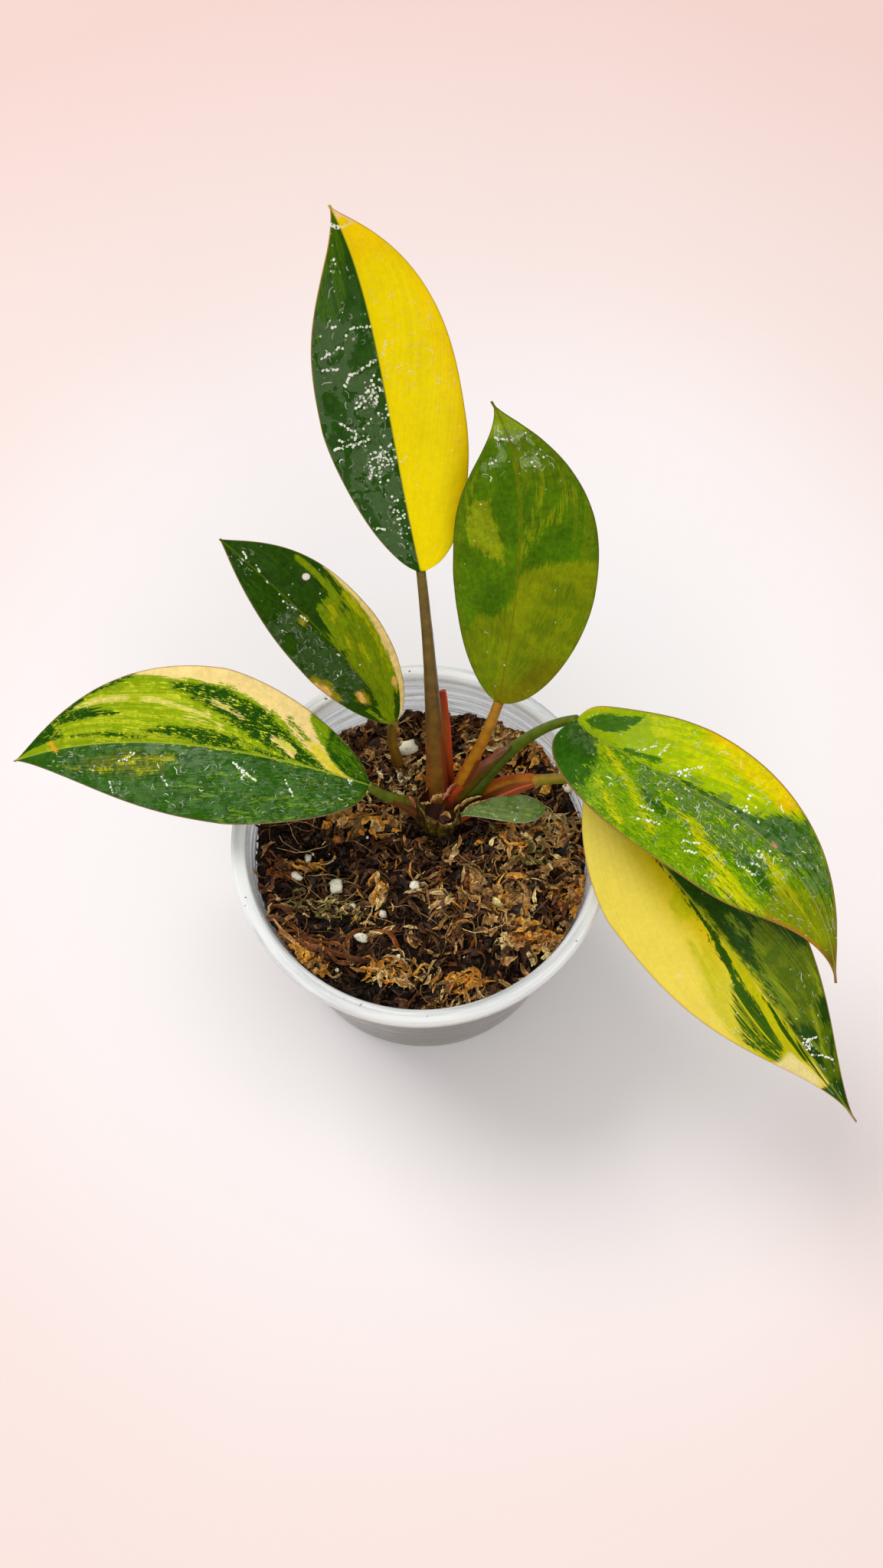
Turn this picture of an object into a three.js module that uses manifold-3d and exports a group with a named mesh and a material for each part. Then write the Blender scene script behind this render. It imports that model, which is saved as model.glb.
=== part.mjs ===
// A young variegated philodendron in a clear nursery pot: pot, potting mix, stem, six large
// leaves on petioles, one small leaf and a red sheath. Millimetres, +Z up, with the origin at
// the centre of the pot's flat base. The front of the plant looks along -Y.

import * as THREE from "three";
import { mergeVertices } from "three/addons/utils/BufferGeometryUtils.js";
import Module from "manifold-3d";

const wasm = await Module();
wasm.setup();

// Driving dimensions of the pot.
const potHeight = 80;
const rimRadius = 50;
const baseRadius = 42;
const wall = 0.8;
const floorThickness = 1.2;
const lipWidth = 3.2;
const lipDrop = 4.5;
const ridgeCount = 5;
const ridgePitch = 4;
const ridgeDepth = 0.5;
const ridgeHalfHeight = 1;
const baseCorner = 1.5;
const drainHoles = 6;
const drainRadius = 3;
const drainCircle = 28;
const drainSteps = 16;

// Driving dimensions of the mix: its mean level below the rim, and how its surface lies.
const mixDrop = 16.5;
const mixSlope = 0.12;
const mixMound = 3;
const mixRoughness = 0.9;

// Driving dimensions of the plant.
const bladeThickness = 0.8;
const tipHalfWidth = 0.45;
const keelTip = 0.35;
const stemCentre = [4.5, 11];
const stemRadius = 5.2;
const stemTop = 73;
const stemFoot = 46;

// Clearance between two pieces that touch.
const gap = 0.3;

// Facets: blade rows and columns, petiole rings and sides, and steps round the pot.
const bladeRows = 18;
const bladeColumns = 8;
const petioleRings = 12;
const petioleSides = 8;
const potSteps = 40;
const mixRings = 11;

const wallTopRadius = rimRadius - lipWidth;
const potFlare = (wallTopRadius - baseRadius) / potHeight;

// Each large leaf. The midrib is a cubic Bezier from the petiole to the tip. The upper face
// looks along face[0] at the base and face[1] at the tip. Each half has a greatest width at
// the share "widest" of its length, a shoulder power behind it, and two taper powers before
// the tip. Fold is the rise of each half in degrees, droop the fall of its edge as a share
// of the half width, and lobe how far the base reaches back past the petiole.
const leaves = {
  tall: {
    midrib: [[0.5, 42, 140], [-6.5, 61.5, 168], [-8, 77, 190], [-15.5, 76.5, 210]],
    face: [[0, -0.81, 0.58], [0.42, -0.9, 0.13]],
    left: { width: 15, widest: 0.38, shoulder: 1.5, taper: 2.6, tip: 1.5 },
    right: { width: 16, widest: 0.35, shoulder: 1.95, taper: 2.65, tip: 1.4 },
    fold: 10,
    droop: 0.08,
    lobe: 0.5,
    petiole: [[4.5, 15, 62], [3.2, 25, 92], [2.8, 30.5, 115], [0.5, 42, 140]],
    petioleRadius: [1.9, 1.1],
    sheath: { until: 0.3, extra: 0.5 },
    bladeColour: 0xb8b01e,
    petioleColour: 0x6b5a28,
  },
  upright: {
    midrib: [[19, 21, 115], [22, 33, 142], [26, 47.5, 166], [15, 52.5, 185]],
    face: [[-0.43, -0.81, 0.4], [0, -0.97, 0.24]],
    left: { width: 15, widest: 0.42, shoulder: 1.75, taper: 2.85, tip: 1.8 },
    right: { width: 17.5, widest: 0.4, shoulder: 1.7, taper: 2.65, tip: 1.75 },
    fold: 5,
    droop: 0.1,
    lobe: 0.3,
    petiole: [[7, 13.5, 62], [11, 16.5, 83], [15, 15, 97], [19, 21, 115]],
    petioleRadius: [1.9, 1.25],
    sheath: { until: 0.3, extra: 0.4 },
    bladeColour: 0x5c7a14,
    petioleColour: 0x9a6a24,
  },
  back_left: {
    midrib: [[-7, 27.5, 90], [-19.5, 38, 112], [-32.5, 43.5, 128], [-46.5, 52, 138]],
    face: [[0.43, -0.69, 0.58], [0.3, -0.47, 0.83]],
    left: { width: 10.5, widest: 0.36, shoulder: 1.65, taper: 2.2, tip: 1.1 },
    right: { width: 13, widest: 0.4, shoulder: 1.8, taper: 2.75, tip: 1.15 },
    fold: 9,
    droop: 0.09,
    lobe: 0,
    petiole: [[-6, 26.5, 50], [-7, 27, 66], [-10, 29.5, 80], [-7, 27.5, 90]],
    petioleRadius: [1.6, 1.15],
    sheath: { until: 0.3, extra: 0.3 },
    bladeColour: 0x57772a,
    petioleColour: 0x705a22,
  },
  left: {
    midrib: [[-14, 12, 84], [-34, 13, 99], [-72.5, 25.5, 97], [-109.5, 20.5, 80]],
    face: [[0.59, -0.09, 0.8], [-0.35, -0.36, 0.87]],
    left: { width: 19.5, widest: 0.42, shoulder: 1.5, taper: 2.4, tip: 1.2 },
    right: { width: 21, widest: 0.48, shoulder: 1.3, taper: 2.3, tip: 1.25 },
    fold: 9,
    droop: 0.07,
    lobe: 1.3,
    petiole: [[1, 11.5, 62], [-3.5, 13, 71.5], [-11, 10.5, 77], [-14, 12, 84]],
    petioleRadius: [1.8, 1.15],
    sheath: { until: 0.45, extra: 0.6 },
    bladeColour: 0x6f8f34,
    petioleColour: 0x5f6f2a,
  },
  right: {
    midrib: [[39.5, 23.5, 100], [51.5, 0.5, 113], [96.5, -3.5, 109], [101.5, -41, 86]],
    face: [[-0.41, 0.28, 0.87], [0.19, -0.5, 0.85]],
    left: { width: 15.5, widest: 0.39, shoulder: 1.6, taper: 1.9, tip: 1.5 },
    right: { width: 20, widest: 0.45, shoulder: 1.9, taper: 3.1, tip: 1.8 },
    fold: 10,
    droop: 0.11,
    lobe: 3.5,
    petiole: [[7, 12, 62], [16.5, 18, 78.5], [28.5, 28, 88], [39.5, 23.5, 100]],
    petioleRadius: [1.8, 1.2],
    sheath: { until: 0.5, extra: 1.4 },
    bladeColour: 0x7f9a22,
    petioleColour: 0x5d7a2c,
  },
  front_right: {
    midrib: [[44.5, 13, 86], [61.5, -17, 97], [83.5, -42.5, 88], [111, -71, 60]],
    face: [[-0.45, 0.07, 0.89], [0.18, -0.59, 0.79]],
    left: { width: 20.5, widest: 0.32, shoulder: 1.6, taper: 2.5, tip: 1.55 },
    right: { width: 20, widest: 0.33, shoulder: 1.45, taper: 3.1, tip: 2.2 },
    fold: 9,
    droop: 0.09,
    lobe: 0,
    petiole: [[8, 11, 62], [24, 17.5, 75], [30, 16.5, 78], [44.5, 13, 86]],
    petioleRadius: [1.6, 1.2],
    sheath: { until: 0.62, extra: 1.2 },
    bladeColour: 0xb0ae3c,
    petioleColour: 0xa8642a,
  },
};

const smallLeaf = {
  midrib: [[10.5, 9, 69.5], [17.5, 10.5, 73.5], [26, 8.5, 74], [33.5, 10.5, 71.5]],
  face: [[-0.1, -0.3, 0.95], [0.1, -0.3, 0.95]],
  left: { width: 3.8, widest: 0.55, shoulder: 1.8, taper: 2.2, tip: 0.9 },
  right: { width: 3.8, widest: 0.5, shoulder: 1.8, taper: 2.2, tip: 0.9 },
  fold: 8,
  droop: 0.05,
  lobe: 0,
  petioleRadius: [0.9, 0.6],
};

// The red sheath that stands beside the tall leaf's petiole.
const redSheath = {
  path: [[8, 15.5, 64], [8.2, 22, 76], [7.2, 28.5, 87], [6, 32.5, 98]],
  halfWidth: 1.5,
  halfDepth: 0.7,
};

const vec = (p) => new THREE.Vector3(p[0], p[1], p[2]);

function bezier(points) {
  return new THREE.CubicBezierCurve3(...points.map(vec));
}

function smooth(t) {
  const c = Math.min(Math.max(t, 0), 1);
  return c * c * (3 - 2 * c);
}

// Turns a three.js geometry into a solid for cuts and joins.
function solidOf(geometry) {
  const bare = new THREE.BufferGeometry();
  bare.setAttribute("position", geometry.getAttribute("position"));
  bare.setIndex(geometry.getIndex());
  const merged = mergeVertices(bare, 1e-4);
  return new wasm.Manifold(
    new wasm.Mesh({
      numProp: 3,
      vertProperties: Float32Array.from(merged.getAttribute("position").array),
      triVerts: Uint32Array.from(merged.getIndex().array),
    }),
  );
}

function geometryOf(solid) {
  const mesh = solid.getMesh();
  const geometry = new THREE.BufferGeometry();
  geometry.setAttribute("position", new THREE.BufferAttribute(mesh.vertProperties, 3));
  geometry.setIndex(new THREE.BufferAttribute(mesh.triVerts, 1));
  geometry.computeVertexNormals();
  return geometry;
}

// Cuts can leave a scrap beside the piece; only the piece itself is kept.
function largestBody(solid) {
  const bodies = solid.decompose();
  bodies.sort((a, b) => b.volume() - a.volume());
  return bodies[0];
}

function indexedGeometry(points, triangles) {
  const geometry = new THREE.BufferGeometry();
  const flat = points.flatMap((p) => [p.x, p.y, p.z]);
  geometry.setAttribute("position", new THREE.Float32BufferAttribute(flat, 3));
  geometry.setIndex(triangles);
  return geometry;
}

// Half width of a blade at the share s of its length.
function halfWidth(side, s) {
  if (s <= side.widest) {
    const behind = 1 - s / side.widest;
    return side.width * (1 - behind ** side.shoulder) ** (1 / side.shoulder);
  }
  const ahead = (s - side.widest) / (1 - side.widest);
  return side.width * (1 - ahead ** side.taper) ** side.tip;
}

// How far the base of a blade reaches back, as a share of the lobe, at the share s.
function lobeReach(s) {
  const peak = 0.08;
  return (s / peak) * Math.exp(1 - s / peak);
}

// The midrib's point, its direction, the upper face's normal and the right-hand side at s.
function bladeFrame(leaf, s) {
  const curve = bezier(leaf.midrib);
  const along = curve.getTangent(s);
  const face = vec(leaf.face[0]).lerp(vec(leaf.face[1]), s);
  const normal = face.addScaledVector(along, -face.dot(along)).normalize();
  const across = new THREE.Vector3().crossVectors(along, normal);
  return { point: curve.getPoint(s), along, normal, across };
}

// A point of a blade: s runs from the base to the tip and h from the left edge, -1, to the
// right edge, 1. Lift moves it along the normal and grow widens the outline.
function bladePoint(leaf, s, h, lift, grow) {
  const { point, along, normal, across } = bladeFrame(leaf, s);
  const side = h > 0 ? leaf.right : leaf.left;
  const least = THREE.MathUtils.lerp(leaf.petioleRadius[1], tipHalfWidth, s);
  const width = Math.max(halfWidth(side, s), least) + grow;
  const reach = Math.abs(h);
  const fold = THREE.MathUtils.degToRad(leaf.fold);
  const rise = width * reach * Math.sin(fold) - leaf.droop * width * reach * reach;
  point.addScaledVector(across, Math.sign(h) * width * reach * Math.cos(fold));
  point.addScaledVector(normal, rise + lift);
  point.addScaledVector(along, -leaf.lobe * lobeReach(s) * reach);
  if (s === 0) point.addScaledVector(along, -grow);
  if (s === 1) point.addScaledVector(along, grow);
  return point;
}

// How far the midrib stands out under the blade at s and h: a keel that thins to the tip.
function keelDepth(leaf, s, h) {
  const spread = 0.09;
  const deepest = THREE.MathUtils.lerp(1.4 * leaf.petioleRadius[1], keelTip, Math.sqrt(s));
  return deepest * Math.exp(-((h / spread) ** 2));
}

// The blade: a sheet with a keel, both faces split alike and a wall round its edge.
function bladeSolid(leaf, grow = 0) {
  const half = bladeThickness / 2 + grow;
  const stride = bladeColumns + 1;
  const crowding = 1.6;
  const upper = [];
  const lower = [];
  for (let i = 0; i <= bladeRows; i++) {
    for (let j = 0; j <= bladeColumns; j++) {
      const s = i / bladeRows;
      const u = (2 * j) / bladeColumns - 1;
      const h = Math.sign(u) * Math.abs(u) ** crowding;
      upper.push(bladePoint(leaf, s, h, half, grow));
      lower.push(bladePoint(leaf, s, h, -half - keelDepth(leaf, s, h), grow));
    }
  }
  const under = upper.length;
  const triangles = [];
  for (let i = 0; i < bladeRows; i++) {
    for (let j = 0; j < bladeColumns; j++) {
      const a = i * stride + j;
      const b = a + stride;
      triangles.push(a, a + 1, b + 1, a, b + 1, b);
      triangles.push(under + a, under + b + 1, under + a + 1, under + a, under + b, under + b + 1);
    }
  }
  const rim = [];
  for (let j = 0; j < bladeColumns; j++) rim.push(j);
  for (let i = 0; i < bladeRows; i++) rim.push(i * stride + bladeColumns);
  for (let j = bladeColumns; j > 0; j--) rim.push(bladeRows * stride + j);
  for (let i = bladeRows; i > 0; i--) rim.push(i * stride);
  rim.forEach((a, k) => {
    const b = rim[(k + 1) % rim.length];
    triangles.push(a, under + a, under + b, a, under + b, b);
  });
  return solidOf(indexedGeometry([...upper, ...lower], triangles));
}

// A closed tube through rings of points that a function gives for each ring and side.
function ringTube(rings, sides, pointAt) {
  const points = [];
  for (let i = 0; i <= rings; i++) {
    for (let k = 0; k < sides; k++) points.push(pointAt(i / rings, (2 * Math.PI * k) / sides));
  }
  const centreOf = (ring) => {
    const sum = new THREE.Vector3();
    for (let k = 0; k < sides; k++) sum.add(points[ring * sides + k]);
    return sum.divideScalar(sides);
  };
  const foot = points.length;
  points.push(centreOf(0), centreOf(rings));
  const triangles = [];
  for (let k = 0; k < sides; k++) {
    const next = (k + 1) % sides;
    for (let i = 0; i < rings; i++) {
      const a = i * sides;
      const b = a + sides;
      triangles.push(a + k, a + next, b + next, a + k, b + next, b + k);
    }
    const last = rings * sides;
    triangles.push(foot, next, k, foot + 1, last + k, last + next);
  }
  return indexedGeometry(points, triangles);
}

// A petiole: thick and sheathing at its foot, with a shallow channel on its upper side.
function petioleSolid(leaf, grow = 0) {
  const curve = bezier(leaf.petiole);
  const face = vec(leaf.face[0]);
  const [footRadius, topRadius] = leaf.petioleRadius;
  const channelDepth = 0.18;
  const sheathChannel = 0.3;
  const channelSpread = 0.5;
  return solidOf(
    ringTube(petioleRings, petioleSides, (t, angle) => {
      const along = curve.getTangent(t);
      const normal = face.clone().addScaledVector(along, -face.dot(along)).normalize();
      const across = new THREE.Vector3().crossVectors(along, normal);
      const sheath = 1 - smooth(t / leaf.sheath.until);
      const radius =
        THREE.MathUtils.lerp(footRadius, topRadius, t) + leaf.sheath.extra * sheath;
      const fromTop = (angle - Math.PI / 2) / channelSpread;
      const depth = (channelDepth + sheathChannel * sheath) * Math.exp(-fromTop * fromTop);
      const reach = radius * (1 - depth) + grow;
      const point = curve.getPoint(t);
      point.addScaledVector(across, -reach * Math.cos(angle));
      return point.addScaledVector(normal, reach * Math.sin(angle));
    }),
  );
}

// A short stem with two leaf scars and a collar of old scales.
function stemSolid(grow = 0) {
  const scar = 0.5;
  const outline = [
    [0, stemFoot - grow],
    [stemRadius * 0.7, stemFoot - grow],
    [stemRadius, stemFoot + 10],
    [stemRadius + scar, stemFoot + 13],
    [stemRadius, stemFoot + 16],
    [stemRadius + 2 * scar, stemTop - 7],
    [stemRadius + scar, stemTop - 4],
    [stemRadius * 0.6, stemTop - 1],
    [0, stemTop + grow],
  ];
  const profile = outline.map(([r, z]) => new THREE.Vector2(r > 0 ? r + grow : 0, z));
  const stemSteps = 16;
  const geometry = new THREE.LatheGeometry(profile, stemSteps);
  geometry.rotateX(Math.PI / 2);
  geometry.translate(stemCentre[0], stemCentre[1], 0);
  return solidOf(geometry);
}

// The red sheath: a slim strap that narrows to a point.
function redSheathSolid(grow = 0) {
  const curve = bezier(redSheath.path);
  const rings = 10;
  const sides = 8;
  const tipShare = 0.25;
  const face = new THREE.Vector3(-0.3, -1, 0);
  return solidOf(
    ringTube(rings, sides, (t, angle) => {
      const along = curve.getTangent(t);
      const normal = face.clone().addScaledVector(along, -face.dot(along)).normalize();
      const across = new THREE.Vector3().crossVectors(along, normal);
      const narrow = THREE.MathUtils.lerp(1, tipShare, t * t);
      const reach = redSheath.halfWidth * narrow + grow;
      const depth = redSheath.halfDepth * narrow + grow;
      const point = curve.getPoint(t);
      point.addScaledVector(across, -reach * Math.cos(angle));
      return point.addScaledVector(normal, depth * Math.sin(angle));
    }),
  );
}

// Outer radius of the pot's wall at a height.
function wallRadius(z) {
  return baseRadius + potFlare * z;
}

// The pot: a thin flared wall with ridges, a lip turned outward and down, and a flat floor.
function potSolid() {
  const lipFoot = potHeight - lipDrop;
  const lipUnderside = potHeight - 2 * wall;
  const innerCorner = floorThickness + baseCorner;
  const outline = [
    [0, 0],
    [baseRadius - baseCorner, 0],
    [wallRadius(baseCorner), baseCorner],
  ];
  for (let k = ridgeCount; k > 0; k--) {
    const middle = lipFoot + 2 * ridgeHalfHeight - k * ridgePitch;
    outline.push([wallRadius(middle), middle - ridgeHalfHeight]);
    outline.push([wallRadius(middle) + ridgeDepth, middle]);
    outline.push([wallRadius(middle), middle + ridgeHalfHeight]);
  }
  outline.push([wallTopRadius, lipUnderside]);
  outline.push([rimRadius - wall, lipUnderside]);
  outline.push([rimRadius - wall, lipFoot]);
  outline.push([rimRadius, lipFoot]);
  outline.push([rimRadius, potHeight - wall]);
  outline.push([rimRadius - wall, potHeight]);
  outline.push([wallTopRadius - wall / 2, potHeight]);
  outline.push([wallTopRadius - wall, potHeight - wall]);
  outline.push([wallRadius(innerCorner) - wall, innerCorner]);
  outline.push([baseRadius - baseCorner - wall, floorThickness]);
  outline.push([0, floorThickness]);
  const profile = outline.map(([r, z]) => new THREE.Vector2(r, z));
  const shell = new THREE.LatheGeometry(profile, potSteps);
  shell.rotateX(Math.PI / 2);
  let solid = solidOf(shell);
  for (let k = 0; k < drainHoles; k++) {
    const turn = (2 * Math.PI * (k + 0.5)) / drainHoles;
    const hole = new THREE.CylinderGeometry(drainRadius, drainRadius, 4 * floorThickness, drainSteps);
    hole.rotateX(Math.PI / 2);
    hole.translate(drainCircle * Math.cos(turn), drainCircle * Math.sin(turn), 0);
    solid = solid.subtract(solidOf(hole));
  }
  return solid;
}

// Height of the potting mix: higher in front and in the middle, with coarse lumps.
function mixHeight(x, y) {
  const across = (x * x + y * y) / (rimRadius * rimRadius);
  const lumps =
    Math.sin(0.31 * x + 1.2) * Math.cos(0.27 * y - 0.4) +
    0.7 * Math.sin(0.66 * x - 0.52 * y + 2) +
    0.5 * Math.sin(0.93 * y + 0.35 * x);
  return (
    potHeight - mixDrop - mixSlope * y + mixMound * (1 - across) + mixRoughness * lumps
  );
}

// The potting mix: a plug that fills the pot to its rough surface.
function mixPlug() {
  const floor = floorThickness + gap;
  const fitRadius = (z) => wallRadius(z) - wall - gap;
  const edge = fitRadius(potHeight - mixDrop);
  const rings = [];
  for (let i = 1; i <= mixRings; i++) {
    rings.push((turn) => {
      const r = (edge * i) / mixRings;
      const z = mixHeight(r * Math.cos(turn), r * Math.sin(turn));
      const reach = i < mixRings ? r : fitRadius(z);
      return [reach * Math.cos(turn), reach * Math.sin(turn), z];
    });
  }
  const low = floor + baseCorner;
  const foot = fitRadius(0) - 2 * baseCorner;
  rings.push((turn) => [fitRadius(low) * Math.cos(turn), fitRadius(low) * Math.sin(turn), low]);
  rings.push((turn) => [foot * Math.cos(turn), foot * Math.sin(turn), floor]);
  const points = [new THREE.Vector3(0, 0, mixHeight(0, 0))];
  for (const ring of rings) {
    for (let k = 0; k < potSteps; k++) points.push(vec(ring((2 * Math.PI * k) / potSteps)));
  }
  points.push(new THREE.Vector3(0, 0, floor));
  const triangles = [];
  const last = points.length - 1;
  for (let k = 0; k < potSteps; k++) {
    const next = (k + 1) % potSteps;
    triangles.push(0, 1 + k, 1 + next);
    for (let i = 0; i < rings.length - 1; i++) {
      const a = 1 + i * potSteps;
      const b = a + potSteps;
      triangles.push(a + k, b + k, b + next, a + k, b + next, a + next);
    }
    const rim = 1 + (rings.length - 1) * potSteps;
    triangles.push(last, rim + next, rim + k);
  }
  return solidOf(indexedGeometry(points, triangles));
}

// A seeded draw between 0 and 1.
function seededDraw(seed) {
  let state = seed;
  return () => {
    state = (state * 16807) % 2147483647;
    return state / 2147483647;
  };
}

// Perlite grains and bark chips, sunk well into the surface, clear of the stem.
function addGrains(mix) {
  const draw = seededDraw(20241);
  const grainCount = 26;
  const furthest = baseRadius - 2;
  const keepClear = [
    { at: stemCentre, radius: 12 },
    { at: smallLeaf.midrib[2], radius: 9 },
    { at: leaves.back_left.petiole[0], radius: 6 },
  ];
  let solid = mix;
  let placed = 0;
  while (placed < grainCount) {
    const reach = furthest * Math.sqrt(draw());
    const turn = 2 * Math.PI * draw();
    const x = reach * Math.cos(turn);
    const y = reach * Math.sin(turn);
    const size = THREE.MathUtils.lerp(1.5, 2.8, draw());
    const stretch = THREE.MathUtils.lerp(1, 1.8, draw());
    const spin = Math.PI * draw();
    if (keepClear.some(({ at, radius }) => Math.hypot(x - at[0], y - at[1]) < radius)) continue;
    const grain = new THREE.IcosahedronGeometry(size, 0);
    grain.scale(stretch, 1, 0.9);
    grain.rotateZ(spin);
    grain.translate(x, y, mixHeight(x, y) + 0.25 * size);
    solid = solid.add(solidOf(grain));
    placed += 1;
  }
  return solid;
}

function material(colour, roughness, opacity = 1) {
  return new THREE.MeshStandardMaterial({
    color: colour,
    roughness,
    metalness: 0,
    transparent: opacity < 1,
    opacity,
  });
}

const plant = new THREE.Group();
plant.name = "potted_philodendron";

function addNode(name, solid, surface) {
  const mesh = new THREE.Mesh(geometryOf(solid), surface);
  mesh.name = name;
  plant.add(mesh);
}

// Blades first, then the stem, then each petiole cut clear of what it meets.
for (const [name, leaf] of Object.entries(leaves)) {
  addNode(`blade_${name}`, bladeSolid(leaf), material(leaf.bladeColour, 0.35));
}

addNode("stem", stemSolid(), material(0x6d6a35, 0.6));

let standing = stemSolid(gap);
for (const [name, leaf] of Object.entries(leaves)) {
  const petiole = petioleSolid(leaf).subtract(standing).subtract(bladeSolid(leaf, gap));
  addNode(`petiole_${name}`, largestBody(petiole), material(leaf.petioleColour, 0.45));
  standing = standing.add(petioleSolid(leaf, gap));
}

const sheath = largestBody(redSheathSolid().subtract(standing));
addNode("sheath_red", sheath, material(0xb9462d, 0.5));
standing = standing.add(redSheathSolid(gap));

const small = largestBody(bladeSolid(smallLeaf).subtract(standing));
addNode("blade_small", small, material(0x7c8a63, 0.4));
standing = standing.add(bladeSolid(smallLeaf, gap));

addNode("pot", potSolid(), material(0xc3cdd4, 0.15, 0.35));

// The stem, the petioles and the sheath stand in plain holes in the mix.
const mix = addGrains(mixPlug()).subtract(standing);
addNode("potting_mix", largestBody(mix), material(0x3b2718, 0.95));

export default plant;
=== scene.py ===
"""A young variegated philodendron in a clear nursery pot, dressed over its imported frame.

Sizes are millimetres, as in the frame's source, and become metres where a mesh is made. The
origin is the centre of the pot's base, +Z is up, and the front of the plant looks along -Y.
"""
import math

import bmesh
import bpy
import numpy as np
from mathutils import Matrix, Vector


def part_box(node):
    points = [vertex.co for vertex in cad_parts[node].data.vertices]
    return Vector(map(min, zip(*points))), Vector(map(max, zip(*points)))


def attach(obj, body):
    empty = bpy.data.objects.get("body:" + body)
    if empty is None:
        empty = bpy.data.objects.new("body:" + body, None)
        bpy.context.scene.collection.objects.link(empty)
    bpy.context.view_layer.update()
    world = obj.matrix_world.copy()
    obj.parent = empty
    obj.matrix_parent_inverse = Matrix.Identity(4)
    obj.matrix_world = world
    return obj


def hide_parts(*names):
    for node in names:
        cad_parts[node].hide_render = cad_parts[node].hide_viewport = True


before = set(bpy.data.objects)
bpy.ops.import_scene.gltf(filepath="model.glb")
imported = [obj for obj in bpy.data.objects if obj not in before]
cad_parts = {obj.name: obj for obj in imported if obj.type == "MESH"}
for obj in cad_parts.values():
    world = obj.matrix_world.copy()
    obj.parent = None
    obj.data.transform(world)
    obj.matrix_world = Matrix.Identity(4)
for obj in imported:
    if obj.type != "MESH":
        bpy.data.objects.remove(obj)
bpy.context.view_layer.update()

MM = 0.001


# Sizes that the frame gives.
def millimetres(node):
    low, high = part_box(node)
    return np.array(low) / MM, np.array(high) / MM


_, POT_HIGH = millimetres("pot")
POT_HEIGHT = POT_HIGH[2]
RIM_RADIUS = POT_HIGH[0]

# The rest of the pot, from its rim and height.
WALL = 0.8
FLOOR = 1.2
LIP_WIDTH = 3.2
LIP_DROP = 4.5
LIP_FOOT = POT_HEIGHT - LIP_DROP
LIP_ROUND = 1.2
BASE_RADIUS = RIM_RADIUS - 8
WALL_TOP = RIM_RADIUS - LIP_WIDTH
FLARE = (WALL_TOP - BASE_RADIUS) / POT_HEIGHT
RIDGES = 5
RIDGE_PITCH = 4
RIDGE_DEPTH = 0.12
FIRST_RIDGE = LIP_FOOT + 2 - RIDGES * RIDGE_PITCH
BASE_CORNER = 1.5
HOLES = 6
HOLE_RADIUS = 3
HOLE_CIRCLE = 28
GAP = 0.3

# The mix's surface.
MIX_DROP = 16.5
MIX_SLOPE = 0.12
MIX_MOUND = 3
MIX_ROUGHNESS = 0.9

STEM_CENTRE = (4.5, 11)
STEM_RADIUS = 5.2
STEM_FOOT = 46


# Colour, in the 0 to 255 values that a screen shows.
def rgb(red, green, blue):
    linear = []
    for value in (red, green, blue):
        c = value / 255
        linear.append(c / 12.92 if c <= 0.04045 else ((c + 0.055) / 1.055) ** 2.4)
    return (*linear, 1.0)


# Small mathematics.
def smooth(t):
    c = np.clip(t, 0, 1)
    return c * c * (3 - 2 * c)


def lerp(a, b, t):
    return a + (b - a) * t


def unit(v):
    return v / np.maximum(np.linalg.norm(v, axis=-1, keepdims=True), 1e-9)


def bezier(points, t):
    """Points and unit tangents of a cubic Bezier curve."""
    p = np.array(points, float)
    t = np.asarray(t, float)[..., None]
    u = 1 - t
    at = u**3 * p[0] + 3 * u * u * t * p[1] + 3 * u * t * t * p[2] + t**3 * p[3]
    run = 3 * u * u * (p[1] - p[0]) + 6 * u * t * (p[2] - p[1]) + 3 * t * t * (p[3] - p[2])
    return at, unit(run)


def lattice(x, y, z, seed):
    """A smooth random field from 0 to 1 with cells of one unit."""
    x, y, z = np.broadcast_arrays(np.asarray(x, float), y, z)
    cells = [np.floor(v).astype(np.int64) for v in (x, y, z)]
    parts = [smooth(v - c) for v, c in zip((x, y, z), cells)]

    def corner(dx, dy, dz):
        n = (cells[0] + dx) * 374761393 + (cells[1] + dy) * 668265263
        n = (n + (cells[2] + dz) * 974634777 + seed * 1274126177) & 0xFFFFFFFF
        n = ((n ^ (n >> 13)) * 1274126177) & 0xFFFFFFFF
        return ((n ^ (n >> 16)) & 0xFFFF) / 65535.0

    total = 0
    for dx in (0, 1):
        for dy in (0, 1):
            for dz in (0, 1):
                weight = 1
                for part, side in zip(parts, (dx, dy, dz)):
                    weight = weight * (part if side else 1 - part)
                total = total + weight * corner(dx, dy, dz)
    return total


def layered(x, y, z, seed, octaves=3):
    """Lattice fields of halving size, summed to about 0 to 1."""
    total, share, weight = 0, 0, 1
    for k in range(octaves):
        total = total + weight * lattice(x * 2**k, y * 2**k, z * 2**k, seed + k)
        share += weight
        weight *= 0.5
    return total / share


def square_to(along, aim):
    """Unit vectors at right angles to each direction, turned towards aim."""
    aim = np.array(aim, float)
    return unit(aim - along * (along @ aim)[:, None])


def around(radius, angle, z):
    """Points at angles round the upright axis."""
    x, y = radius * np.cos(angle), radius * np.sin(angle)
    return np.stack(np.broadcast_arrays(x, y, z), 1)


def circle(steps):
    return 2 * np.pi * np.arange(steps) / steps


def tube_grid(rings, sides):
    """The share of its length and the angle at each point of a tube."""
    return np.repeat(np.linspace(0, 1, rings), sides), np.tile(circle(sides), rings)


def strip_grid(rows, columns):
    """The shares of its length and width at each point of a strip."""
    t, u = np.meshgrid(np.linspace(0, 1, rows + 1), np.linspace(0, 1, columns + 1),
                       indexing="ij")
    return t.ravel(), u.ravel()


def with_ends(points, sides):
    """The points of a tube, then the middles of its first and last rings."""
    return np.concatenate([points, [points[:sides].mean(0), points[-sides:].mean(0)]])


def shifted(faces, offset):
    return [tuple(offset + i for i in f) for f in faces]


def two_faces(points, normal, thick):
    return np.concatenate([points + thick * normal, points - thick * normal])


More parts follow.
